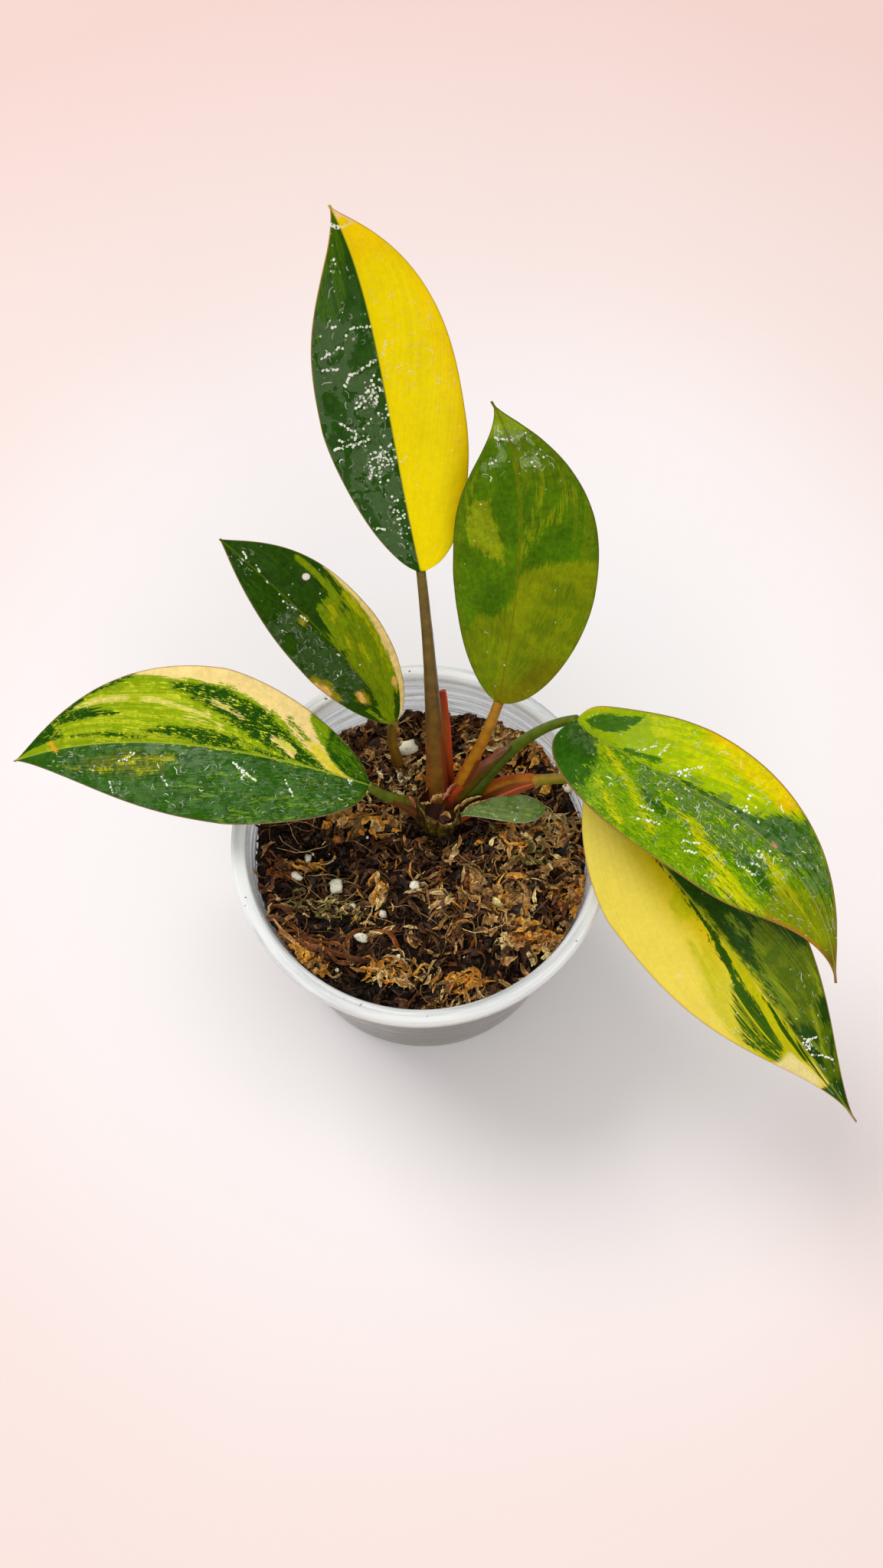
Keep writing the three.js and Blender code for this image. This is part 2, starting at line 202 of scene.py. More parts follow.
# Making a piece from vertices in millimetres.
def piece(name, points, faces, material, stands_for=(), fields=None, flat=False):
    mesh = bpy.data.meshes.new(name)
    mesh.from_pydata((np.asarray(points, float) * MM).tolist(), [], faces)
    for field, values in (fields or {}).items():
        values = np.asarray(values, np.float32)
        if values.ndim == 1:
            mesh.attributes.new(field, "FLOAT", "POINT").data.foreach_set("value", values)
        else:
            colour = np.concatenate([values[:, :3], np.ones((len(values), 1), np.float32)], 1)
            painted = mesh.attributes.new(field, "FLOAT_COLOR", "POINT")
            painted.data.foreach_set("color", colour.astype(np.float32).ravel())
    mesh.materials.append(material)
    mesh.polygons.foreach_set("use_smooth", [not flat] * len(mesh.polygons))
    mesh.update()
    made = bpy.data.objects.new(name, mesh)
    bpy.context.scene.collection.objects.link(made)
    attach(made, "root")
    if stands_for:
        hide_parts(*stands_for)
    return made


def ring_faces(rings, sides):
    """Quads between rings of a tube, with a fan of the last two points at its ends."""
    faces = []
    for i in range(rings - 1):
        for k in range(sides):
            a, b = i * sides, (i + 1) * sides
            n = (k + 1) % sides
            faces.append((a + k, a + n, b + n, b + k))
    foot = rings * sides
    last = foot - sides
    for k in range(sides):
        n = (k + 1) % sides
        faces.append((foot, n, k))
        faces.append((foot + 1, last + k, last + n))
    return faces


# Building a node material.
class Material:
    """A material being built. Its methods add nodes and return an output. The last one,
    surface, fills the shader and returns the finished material."""

    def __init__(self, name):
        self.data = bpy.data.materials.new(name)
        self.data.use_nodes = True
        self.tree = self.data.node_tree
        self.shader = self.tree.nodes["Principled BSDF"]

    def feed(self, socket, value):
        if isinstance(value, bpy.types.NodeSocket):
            self.tree.links.new(value, socket)
        else:
            socket.default_value = value

    def add(self, kind, inputs, output=0, **settings):
        node = self.tree.nodes.new("ShaderNode" + kind)
        for key, value in settings.items():
            setattr(node, key, value)
        for key, value in inputs.items():
            self.feed(node.inputs[key], value)
        return node.outputs[output]

    def field(self, name):
        return self.add("Attribute", {}, "Fac", attribute_name=name)

    def painted(self, name):
        return self.add("Attribute", {}, "Color", attribute_name=name)

    def place(self):
        """Position on the object, in millimetres."""
        return self.scaled(self.add("TexCoord", {}, "Object"), 1 / MM)

    def scaled(self, vector, factor):
        return self.add("VectorMath", {0: vector, 3: factor}, operation="SCALE")

    def moved(self, vector, by):
        return self.add("VectorMath", {0: vector, 1: by}, operation="ADD")

    def length(self, vector):
        return self.add("VectorMath", {0: vector}, "Value", operation="LENGTH")

    def math(self, operation, a, b=0.0):
        return self.add("Math", {0: a, 1: b}, operation=operation)

    def times(self, a, b):
        return self.math("MULTIPLY", a, b)

    def plus(self, a, b):
        return self.math("ADD", a, b)

    def most(self, a, b):
        return self.math("MAXIMUM", a, b)

    def swing(self, noise, amount):
        """A noise of 0 to 1 moved to lie about zero, and scaled."""
        return self.times(self.plus(noise, -0.5), amount)

    def vector(self, x, y, z):
        return self.add("CombineXYZ", {0: x, 1: y, 2: z})

    def noise(self, at, scale, detail=3.0, roughness=0.5, distortion=0.0):
        inputs = {"Vector": at, "Scale": scale, "Detail": detail}
        inputs.update({"Roughness": roughness, "Distortion": distortion})
        return self.add("TexNoise", inputs, "Fac")

    def band(self, value, low, high, out_low=0.0, out_high=1.0):
        """Rises smoothly from out_low to out_high while the value goes from low to high."""
        inputs = {"Value": value, "From Min": low, "From Max": high}
        inputs.update({"To Min": out_low, "To Max": out_high})
        return self.add("MapRange", inputs, interpolation_type="SMOOTHSTEP")

    def blend(self, share, a, b):
        return self.add("Mix", {0: share, 6: a, 7: b}, 2, data_type="RGBA")

    def shade(self, colour, amount):
        """The colour made lighter or darker by a number near 1."""
        grey = self.add("CombineColor", {0: amount, 1: amount, 2: amount})
        inputs = {0: 1.0, 6: colour, 7: grey}
        return self.add("Mix", inputs, 2, data_type="RGBA", blend_type="MULTIPLY")

    def ramp(self, value, stops):
        node = self.tree.nodes.new("ShaderNodeValToRGB")
        self.feed(node.inputs[0], value)
        while len(node.color_ramp.elements) < len(stops):
            node.color_ramp.elements.new(0.5)
        for element, (place, colour) in zip(node.color_ramp.elements, stops):
            element.position = place
            element.color = colour
        return node.outputs[0]

    def strands(self, along, across, rate=3.0, rate_along=5.0):
        """A noise drawn out along a stalk."""
        at = self.vector(self.times(along, rate_along), self.times(across, rate), 0.0)
        return self.noise(at, 1.0, 4)

    def bump(self, height, distance_mm, strength=1.0, after=None):
        inputs = {"Height": height, "Distance": distance_mm * MM, "Strength": strength}
        if after is not None:
            inputs["Normal"] = after
        return self.add("Bump", inputs)

    def surface(self, **inputs):
        names = {"colour": "Base Color", "coat": "Coat Weight", "coat_roughness": "Coat Roughness"}
        names.update({"clear": "Transmission Weight", "ior": "IOR",
                      "specular": "Specular IOR Level"})
        for key, value in inputs.items():
            self.feed(self.shader.inputs[names.get(key, key.capitalize())], value)
        return self.data


# The camera, where the photograph was taken from.
def make_camera():
    data = bpy.data.cameras.new("camera")
    data.lens = 27.25
    data.sensor_width = 36
    data.clip_start = 0.01
    made = bpy.data.objects.new("camera", data)
    bpy.context.scene.collection.objects.link(made)
    made.location = (0.0052, -0.1045, 0.373)
    made.rotation_euler = (math.radians(22), 0, 0)
    bpy.context.scene.camera = made


# A plain floor, a little warmer away from its bright middle.
def floor_material():
    mat = Material("floor")
    centre = mat.moved(mat.place(), (-10.0, -60.0, 0.0))
    away = mat.math("DIVIDE", mat.length(centre), 500.0)
    tone = mat.plus(away, mat.times(mat.noise(centre, 0.01, 2), 0.04))
    colour = mat.ramp(tone, [(0.16, rgb(253, 249, 249)), (0.32, rgb(252, 244, 243)),
                             (0.46, rgb(248, 230, 226)), (0.8, rgb(243, 213, 206))])
    return mat.surface(colour=colour, roughness=0.7, specular=0.1)


def make_floor():
    half = 1.5
    depth = 0.02
    mesh = bpy.data.meshes.new("floor")
    corners = [(-half, -half), (half, -half), (half, half), (-half, half)]
    points = [(x, y, z) for z in (-depth, 0) for x, y in corners]
    sides = [(k, (k + 1) % 4, 4 + (k + 1) % 4, 4 + k) for k in range(4)]
    mesh.from_pydata(points, [], [(3, 2, 1, 0), (4, 5, 6, 7), *sides])
    mesh.materials.append(floor_material())
    made = bpy.data.objects.new("floor", mesh)
    bpy.context.scene.collection.objects.link(made)
    made.location.z = -0.1 * MM


# Two large soft lights, both aimed at the middle of the plant, and a pale sky. Their places,
# like the camera's, are in metres.
PLANT_MIDDLE = (0, 0, 0.08)


def area_light(name, place, size, watts, colour):
    data = bpy.data.lights.new(name, "AREA")
    data.shape = "DISK"
    data.size = size
    data.energy = watts
    data.color = colour
    made = bpy.data.objects.new(name, data)
    bpy.context.scene.collection.objects.link(made)
    made.location = place
    aim = Vector(PLANT_MIDDLE) - Vector(place)
    made.rotation_euler = aim.to_track_quat("-Z", "Y").to_euler()


def make_lights():
    area_light("key", (-1.4, 1.33, 2.66), size=1.8, watts=54, colour=(1, 0.995, 0.985))
    area_light("fill", (0.3, -1.6, 1.5), size=1.6, watts=13.5, colour=(1, 1, 0.995))
    world = bpy.data.worlds.new("world")
    world.use_nodes = True
    background = world.node_tree.nodes["Background"]
    background.inputs["Color"].default_value = (0.99, 0.995, 1, 1)
    background.inputs["Strength"].default_value = 0.495
    bpy.context.scene.world = world
    bpy.context.scene.view_settings.view_transform = "Standard"


# The leaves. Each midrib is a cubic Bezier curve from the petiole to the tip. The upper face
# looks along face[0] at the base and face[1] at the tip. Each half has a greatest width at the
# share "widest" of its length, a shoulder power behind it and two taper powers before the tip.
# Fold is in degrees, droop is the share of the half width that an edge sinks by, and lobe is
# how far the base reaches back. Sheath_until is the share of the petiole that has a sheath,
# and sheath_extra how much thicker that part is.
def half(width, widest, shoulder, taper, tip):
    return dict(width=width, widest=widest, shoulder=shoulder, taper=taper, tip=tip)


LEAVES = {
    "tall": dict(
        midrib=[(0.5, 42, 140), (-6.5, 61.5, 168), (-8, 77, 190), (-15.5, 76.5, 210)],
        face=[(0, -0.81, 0.58), (0.42, -0.9, 0.13)],
        left=half(15, 0.38, 1.5, 2.6, 1.5),
        right=half(16, 0.35, 1.95, 2.65, 1.4),
        fold=10, droop=0.08, lobe=0.5,
        petiole=[(4.5, 15, 62), (3.2, 25, 92), (2.8, 30.5, 115), (0.5, 42, 140)],
        petiole_radius=(1.9, 1.1), sheath_until=0.3, sheath_extra=0.5,
    ),
    "upright": dict(
        midrib=[(19, 21, 115), (22, 33, 142), (26, 47.5, 166), (15, 52.5, 185)],
        face=[(-0.43, -0.81, 0.4), (0, -0.97, 0.24)],
        left=half(15, 0.42, 1.75, 2.85, 1.8),
        right=half(17.5, 0.4, 1.7, 2.65, 1.75),
        fold=5, droop=0.1, lobe=0.3,
        petiole=[(7, 13.5, 62), (11, 16.5, 83), (15, 15, 97), (19, 21, 115)],
        petiole_radius=(1.9, 1.25), sheath_until=0.3, sheath_extra=0.4,
    ),
    "back_left": dict(
        midrib=[(-7, 27.5, 90), (-19.5, 38, 112), (-32.5, 43.5, 128), (-46.5, 52, 138)],
        face=[(0.43, -0.69, 0.58), (0.3, -0.47, 0.83)],
        left=half(10.5, 0.36, 1.65, 2.2, 1.1),
        right=half(13, 0.4, 1.8, 2.75, 1.15),
        fold=9, droop=0.09, lobe=0,
        petiole=[(-6, 26.5, 50), (-7, 27, 66), (-10, 29.5, 80), (-7, 27.5, 90)],
        petiole_radius=(1.6, 1.15), sheath_until=0.3, sheath_extra=0.3,
    ),
    "left": dict(
        midrib=[(-14, 12, 84), (-34, 13, 99), (-72.5, 25.5, 97), (-109.5, 20.5, 80)],
        face=[(0.59, -0.09, 0.8), (-0.35, -0.36, 0.87)],
        left=half(19.5, 0.42, 1.5, 2.4, 1.2),
        right=half(21, 0.48, 1.3, 2.3, 1.25),
        fold=9, droop=0.07, lobe=1.3,
        petiole=[(1, 11.5, 62), (-3.5, 13, 71.5), (-11, 10.5, 77), (-14, 12, 84)],
        petiole_radius=(1.8, 1.15), sheath_until=0.45, sheath_extra=0.6,
    ),
    "right": dict(
        midrib=[(39.5, 23.5, 100), (51.5, 0.5, 113), (96.5, -3.5, 109), (101.5, -41, 86)],
        face=[(-0.41, 0.28, 0.87), (0.19, -0.5, 0.85)],
        left=half(15.5, 0.39, 1.6, 1.9, 1.5),
        right=half(20, 0.45, 1.9, 3.1, 1.8),
        fold=10, droop=0.11, lobe=3.5,
        petiole=[(7, 12, 62), (16.5, 18, 78.5), (28.5, 28, 88), (39.5, 23.5, 100)],
        petiole_radius=(1.8, 1.2), sheath_until=0.5, sheath_extra=1.4,
    ),
    "front_right": dict(
        midrib=[(44.5, 13, 86), (61.5, -17, 97), (83.5, -42.5, 88), (111, -71, 60)],
        face=[(-0.45, 0.07, 0.89), (0.18, -0.59, 0.79)],
        left=half(20.5, 0.32, 1.6, 2.5, 1.55),
        right=half(20, 0.33, 1.45, 3.1, 2.2),
        fold=9, droop=0.09, lobe=0,
        petiole=[(8, 11, 62), (24, 17.5, 75), (30, 16.5, 78), (44.5, 13, 86)],
        petiole_radius=(1.6, 1.4), sheath_until=0.62, sheath_extra=1.2,
    ),
    "small": dict(
        midrib=[(10.5, 9, 69.5), (17.5, 10.5, 73.5), (26, 8.5, 74), (33.5, 10.5, 71.5)],
        face=[(-0.1, -0.3, 0.95), (0.1, -0.3, 0.95)],
        left=half(3.9, 0.62, 1.35, 2.0, 0.6),
        right=half(4.0, 0.68, 1.3, 2.2, 0.55),
        fold=8, droop=0.05, lobe=0, petiole_radius=(0.9, 0.6),
    ),
}

TIP_HALF_WIDTH = 0.25
SHEET = 0.5
VEIN_REACH = 0.7
VEIN_SPACING = 12
LEAF_SEED = 40

# Depth in a pattern: further than any point, and where its field ends outside the pattern.
FAR = 1e9
FIELD_END = 12


def half_width(side, s):
    behind = 1 - np.clip(s / side["widest"], 0, 1)
    rising = (1 - behind ** side["shoulder"]) ** (1 / side["shoulder"])
    ahead = np.clip((s - side["widest"]) / (1 - side["widest"]), 0, 1)
    falling = (1 - ahead ** side["taper"]) ** side["tip"]
    return side["width"] * np.where(s <= side["widest"], rising, falling)


def blade_width(leaf, s, h):
    """Half width of the blade at s, on the side of h."""
    least = lerp(leaf["petiole_radius"][1], TIP_HALF_WIDTH, s)
    wide = np.where(h > 0, half_width(leaf["right"], s), half_width(leaf["left"], s))
    return np.maximum(wide, least)


def blade_axes(leaf, s):
    at, along = bezier(leaf["midrib"], s)
    face = lerp(np.array(leaf["face"][0], float), np.array(leaf["face"][1], float), s[..., None])
    normal = unit(face - along * (face * along).sum(-1, keepdims=True))
    return at, along, normal, np.cross(along, normal)


def blade_points(leaf, s, h, lift):
    """Points of a blade: s from base to tip, h from -1 on the left edge to 1 on the right."""
    at, along, normal, across = blade_axes(leaf, s)
    width = blade_width(leaf, s, h)
    reach = np.abs(h)
    fold = math.radians(leaf["fold"])
    rise = width * reach * math.sin(fold) - leaf["droop"] * width * reach**2 + lift
    peak = 0.08
    back = leaf["lobe"] * s / peak * np.exp(1 - s / peak) * reach
    side = np.sign(h) * width * reach * math.cos(fold)
    return at + across * side[..., None] + normal * rise[..., None] - along * back[..., None]


def blade_length(leaf):
    at, _ = bezier(leaf["midrib"], np.linspace(0, 1, 60))
    return np.linalg.norm(np.diff(at, axis=0), axis=1).sum()


def vein_place(leaf, s, h):
    """Distance in mm along the midrib to where the side vein through a point starts."""
    return (s - VEIN_REACH * np.abs(h) ** 1.15) * blade_length(leaf)


def blade_relief(leaf, s, h, seed):
    """Side veins sunk between soft swellings, a narrow midrib groove and a wavy margin."""
    vein = vein_place(leaf, s, h) / VEIN_SPACING
    beside = np.abs(vein - np.round(vein))
    shown = smooth(np.abs(h) * 3) * smooth((1 - np.abs(h)) * 5) * smooth((1 - s) * 6)
    width = blade_width(leaf, s, h)
    swell = 0.05 * np.cos(2 * np.pi * vein) - 0.07 * np.exp(-((beside / 0.09) ** 2))
    swell = swell * shown
    groove = -0.22 * np.exp(-((h * width / 0.7) ** 2)) * smooth((1 - s) * 8)
    wave = (lattice(s * 7, h * 1.5, 0.5, seed) - 0.5) * 1.3 * np.abs(h) ** 3
    ripple = (layered(s * 22, h * 5, 0.5, seed + 5, 2) - 0.5) * 0.25
    return (swell + groove + ripple) * min(1, leaf["left"]["width"] / 10) + wave * smooth(s * 8)


# Patterns on a leaf are drawn in its own coordinates: s runs from base to tip, and h from the
# left edge to the right one. A patch is an area, and a stroke a line with a width in mm.
def patch(*corners):
    return ("patch", corners)


def stroke(width, *points):
    return ("stroke", width, points)


def spot(s, h, radius):
    return ("stroke", 2 * radius, ((s, h), (s + 0.001, h)))


def distance_to_line(ax, ay, bx, by, x, y):
    ex, ey = bx - ax, by - ay
    t = np.clip(((x - ax) * ex + (y - ay) * ey) / (ex * ex + ey * ey + 1e-9), 0, 1)
    return np.hypot(x - ax - t * ex, y - ay - t * ey)


def depth_inside(leaf, shape, s, h):
    """Signed distance in mm to a pattern's outline, positive inside it."""
    length = blade_length(leaf)
    width = (leaf["left"]["width"] + leaf["right"]["width"]) / 2
    x, y = s * length, h * width
    points = [(a * length, b * width) for a, b in shape[-1]]
    closed = shape[0] == "patch"
    nearest = np.full(x.shape, FAR)
    inside = np.zeros(x.shape, bool)
    for (ax, ay), (bx, by) in zip(points, points[1:] + points[:closed]):
        nearest = np.minimum(nearest, distance_to_line(ax, ay, bx, by, x, y))
        if closed and ay != by:
            inside ^= ((ay > y) != (by > y)) & (x < ax + (y - ay) * (bx - ax) / (by - ay))
    return np.where(inside, nearest, -nearest) if closed else shape[1] / 2 - nearest


def layer(name, colour, *shapes, wobble=0.8, fleck=0.6, soft=0.5, cap=6.0, strength=1.0,
          vary=0.12, grain="streak", only=0):
    """One colour laid over those before it. Soft is how wide its border fades, and wobble and
    fleck roughen that border, in mm. A low cap lets them break up its inside too. Strength is
    how much of the colour shows, vary how much its tone changes, and grain the noise that the
    wobble follows. Only keeps the colour to the left half (-1) or the right half (1)."""
    return dict(name=name, colour=colour, shapes=shapes, wobble=wobble, fleck=fleck, soft=soft,
                cap=cap, strength=strength, vary=vary, grain=grain, only=only)


# The colour of a painted glint: the water beads and worms are paled towards it.
PAINTED_GLINT = rgb(255, 255, 240)
LEFT_HALF = patch((-0.1, -1.6), (-0.1, 0), (1.2, 0), (1.2, -1.6))

PATTERNS = {}

PATTERNS["tall"] = dict(base=rgb(255, 230, 0), rib=rgb(236, 214, 20), margin=rgb(196, 140, 60),
    margin_width=0.16, mottle=0.03, grit=0.05, layers=[
    layer("gold", rgb(255, 212, 0), patch((0.8, 0), (0.8, 1.5), (1, 1.5), (1, 0)),
          patch((0.1, 0.75), (0.8, 0.85), (0.8, 1.5), (0.1, 1.5)), wobble=1, soft=3, strength=0.7,
          vary=0.02),
    layer("dark", rgb(38, 80, 10), LEFT_HALF, wobble=0.05, fleck=0.05, soft=0.08, vary=0.35),
    layer("mid", rgb(82, 122, 4),
          patch((0.56, -1.5), (0.6, -0.75), (0.75, -0.35), (1, -0.1), (1, -1.5)), wobble=2.0,
          fleck=1.6, soft=0.9, cap=0.2, strength=0.7),
    # A fainter stretch of the water film towards the tip: its grey-green is a painted reflection.
    layer("haze", rgb(70, 100, 50), patch((0.5, -1.5), (0.5, -0.1), (0.74, -0.1), (0.9, -1.5)),
          wobble=3, fleck=0.3, soft=2.5, cap=0.6, strength=0.5, grain="film_and_painted_sheen", only=-1),
    # The water film on the dark half: its grey-green is a painted reflection.
    layer("film_and_painted_sheen", rgb(76, 103, 58),
          patch((0.1, -1.5), (0.03, -0.8), (0.03, -0.05), (0.6, -0.05), (0.74, -1.5)), wobble=3.4,
          fleck=0.3, soft=0.15, cap=0.8, strength=0.8, grain="film_and_painted_sheen", only=-1),
    layer("bare", rgb(40, 80, 10), patch((0.325, -0.3), (0.345, -0.35), (0.37, -0.7),
          (0.37, -0.95), (0.33, -0.92), (0.32, -0.6)),
          patch((0.39, -0.66), (0.42, -0.9), (0.47, -0.92), (0.48, -0.76), (0.43, -0.6)),
          patch((0.12, -0.72), (0.12, -0.95), (0.21, -0.97), (0.2, -0.76)),
          patch((0.51, -0.06), (0.5, -0.34), (0.54, -0.42), (0.6, -0.26), (0.58, -0.06)),
          patch((0.38, -0.06), (0.4, -0.22), (0.49, -0.14), (0.5, -0.04)),
          patch((0.08, -0.05), (0.1, -0.24), (0.17, -0.2), (0.18, -0.05)),
          stroke(1.4, (0.24, -0.95), (0.3, -0.78)), wobble=0.9, fleck=0.4, soft=0.15, cap=2,
          strength=0.95, vary=0.3, grain="film_and_painted_sheen", only=-1),
    layer("tip", rgb(250, 214, 170), patch((0.955, 0), (0.95, 1.5), (1.1, 1.5), (1.1, 0)),
          patch((0.92, 0.8), (0.92, 1.5), (1.1, 1.5), (1.1, 0.8)), wobble=0.5, soft=0.9),
])

PATTERNS["upright"] = dict(base=rgb(126, 140, 2), rib=rgb(112, 106, 4), margin=rgb(104, 84, 30),
    margin_width=0.2, mottle=0.12, grit=0.16, layers=[
    layer("shade", rgb(84, 112, 2),
          patch((0.02, -1.4), (0.02, -0.3), (0.14, -0.2), (0.3, -0.1), (0.3, -1.4)),
          patch((0.1, 0.1), (0.4, 0.4), (0.42, 0.6), (0.3, 1.3), (0.1, 1.3)), wobble=2.2,
          fleck=2.2, soft=0.9, cap=0.0, strength=0.75, vary=0.15, grain="mottle"),
    layer("dark", rgb(82, 120, 0), patch((0.2, -1.5), (0.2, -0.8), (0.27, -0.62), (0.27, -0.3),
          (0.32, -0.1), (0.38, 0), (1.1, 0), (1.1, -1.5)), patch((0.41, 0), (0.45, 0.15),
          (0.47, 0.4), (0.49, 0.8), (0.49, 1.5), (1.1, 1.5), (1.1, 0)), wobble=0.9, fleck=1.2,
          vary=0.22, grain="mottle"),
    layer("window", rgb(132, 148, 8), patch((0.655, -0.79), (0.655, -0.5), (0.59, -0.39),
          (0.5, -0.23), (0.455, -0.22), (0.47, -0.4), (0.5, -0.74), (0.59, -0.82)), wobble=0.9,
          fleck=1.2, vary=0.15, grain="mottle"),
    layer("glow", rgb(146, 166, 18), stroke(2.8, (0.5, -0.42), (0.56, -0.62), (0.61, -0.68)),
          wobble=1.2, fleck=1.4, soft=1.2, strength=0.6),
    layer("deep", rgb(58, 100, 0),
          patch((0.28, -0.6), (0.28, -0.2), (0.34, -0.1), (0.4, -0.3), (0.4, -0.5)),
          patch((0.46, -0.06), (0.62, -0.4), (0.76, -0.45), (0.8, -0.06)),
          patch((0.44, 0.06), (0.5, 0.1), (0.56, 0.4), (0.6, 0.75), (0.5, 0.7)),
          patch((0.56, 0.03), (0.7, 0.05), (0.72, 0.25), (0.64, 0.2)), wobble=1.8, fleck=1.4,
          soft=1.5, cap=1.4, strength=0.6, vary=0.2),
    layer("lime", rgb(130, 148, 6),
          stroke(1.1, (0.48, 0.03), (0.56, 0.12), (0.64, 0.25), (0.76, 0.52)),
          stroke(0.9, (0.52, 0.05), (0.58, 0.22), (0.63, 0.5), (0.68, 0.8)),
          stroke(0.8, (0.6, 0.5), (0.74, 0.85)), stroke(0.8, (0.66, -0.85), (0.76, -0.9)),
          wobble=0.9, fleck=2.2, strength=0.85, vary=0.15),
    layer("olive", rgb(104, 122, 6), patch((0.7, 0.1), (0.86, 0.05), (0.88, 1.2), (0.72, 1.2)),
          patch((0.5, 0.75), (0.7, 0.8), (0.7, 1.3), (0.5, 1.3)),
          patch((0.1, -1.3), (0.24, -1.3), (0.66, -1.3), (0.66, -0.9), (0.2, -0.9)), wobble=2.2,
          fleck=1.6, soft=1.0, cap=0.2, strength=0.6, vary=0.15),
    layer("brown", rgb(112, 100, 2),
          patch((-0.1, -0.6), (-0.1, 1.5), (0.16, 1.5), (0.2, 0.7), (0.07, 0.3), (0.05, -0.4)),
          wobble=1.5, fleck=1.2, soft=2.2, cap=2, strength=0.65),
    layer("pale", rgb(136, 164, 24), patch((0.88, -1.4), (0.87, 1.4), (1.1, 1.4), (1.1, -1.4)),
          wobble=1.8, fleck=1.4, soft=1.2),
    # Strips of water film near the tip: their pale grey-green is a painted reflection.
    layer("film_and_painted_sheen", rgb(140, 168, 90), stroke(2.2, (0.78, -0.75), (0.8, -0.3)),
          stroke(1.6, (0.79, 0.1), (0.78, 0.5)),
          stroke(1.4, (0.885, -0.6), (0.87, 0), (0.86, 0.7)), wobble=2.6, soft=0.3, cap=0.2,
          strength=0.5, grain="film_and_painted_sheen"),
])

PATTERNS["back_left"] = dict(base=rgb(122, 142, 0), rib=rgb(98, 118, 12), margin=rgb(150, 116, 74),
    margin_width=0.2, mottle=0.08, grit=0.14, layers=[
    layer("shade", rgb(88, 112, 0),
          patch((0.02, 0.02), (0.3, 0.02), (0.5, 0.3), (0.5, 0.8), (0.05, 0.6)), wobble=2.2,
          fleck=1.8, soft=0.8, cap=0.0, strength=0.7, vary=0.15),
    layer("dark", rgb(40, 74, 0), patch((0.03, -1.5), (0.04, -0.5), (0.1, -0.05), (0.28, 0),
          (0.36, 0.1), (0.44, 0.2), (0.5, 0.3), (0.52, 0.5), (0.54, 0.7), (0.6, 0.92), (0.62, 1.4),
          (1.1, 1.4), (1.1, -1.5)),
          patch((0.0, 0.2), (0.04, 0.3), (0.1, 0.6), (0.12, 0.76), (0.05, 0.8), (0.0, 0.7)),
          stroke(1.3, (0.45, 0.63), (0.52, 0.78), (0.62, 0.9)), wobble=1.0, fleck=1.5, soft=0.2,
          vary=0.4),
    layer("lime", rgb(122, 146, 2), stroke(1.5, (0.36, 0.1), (0.46, 0.22), (0.53, 0.34)),
          stroke(1.4, (0.5, 0.62), (0.62, 0.76), (0.72, 0.84)),
          stroke(1.3, (0.42, 0.4), (0.53, 0.52)), stroke(1.6, (0.02, -0.8), (0.1, -0.6)),
          stroke(1.0, (0.03, -0.1), (0.09, -0.3)), fleck=1.2, soft=0.2),
    layer("sun", rgb(176, 176, 0), stroke(0.9, (0.33, 0.23), (0.38, 0.28)),
          stroke(0.9, (0.25, 0.36), (0.32, 0.42)), stroke(1.0, (0.46, 0.38), (0.5, 0.5)),
          stroke(1.0, (0.1, 0.68), (0.3, 0.76), (0.5, 0.84)), fleck=1.2, soft=0.3, strength=0.85),
    # The water film on the left half: its grey-green is a painted reflection.
    layer("film_and_painted_sheen", rgb(64, 88, 38), patch((0.2, -1.2), (0.18, -0.08), (0.63, -0.08), (0.65, -1.2)),
          wobble=2.4, fleck=0.8, cap=0.4, strength=0.6, vary=0.2, grain="film_and_painted_sheen", only=-1),
    layer("cream", rgb(246, 214, 132), patch((0, 0.7), (0.1, 0.78), (0.3, 0.83), (0.5, 0.92),
          (0.63, 0.98), (0.63, 1.6), (0, 1.6)), wobble=0.4, fleck=0.4, soft=0.35, vary=0.04),
    layer("halo", rgb(160, 146, 12),
          patch((0.2, -1.3), (0.21, -0.85), (0.29, -0.68), (0.36, -0.88), (0.38, -1.3)),
          spot(0.155, -0.4, 2.4), spot(0.54, -0.12, 1.2), fleck=0.8, soft=0.6, strength=0.8),
    layer("peach", rgb(240, 186, 100),
          patch((0.24, -1.3), (0.25, -0.93), (0.29, -0.82), (0.33, -0.95), (0.34, -1.3)),
          spot(0.17, -0.4, 1.3), spot(0.15, -0.48, 1.0), spot(0.125, 0.68, 1.1), wobble=0.5,
          strength=0.9),
    layer("ring", rgb(48, 54, 24), spot(0.65, 0.6, 1.25), wobble=0.1, fleck=0.05, soft=0.15),
    layer("dot", rgb(236, 226, 216), spot(0.65, 0.6, 0.95), wobble=0.1, fleck=0.05, soft=0.15),
])

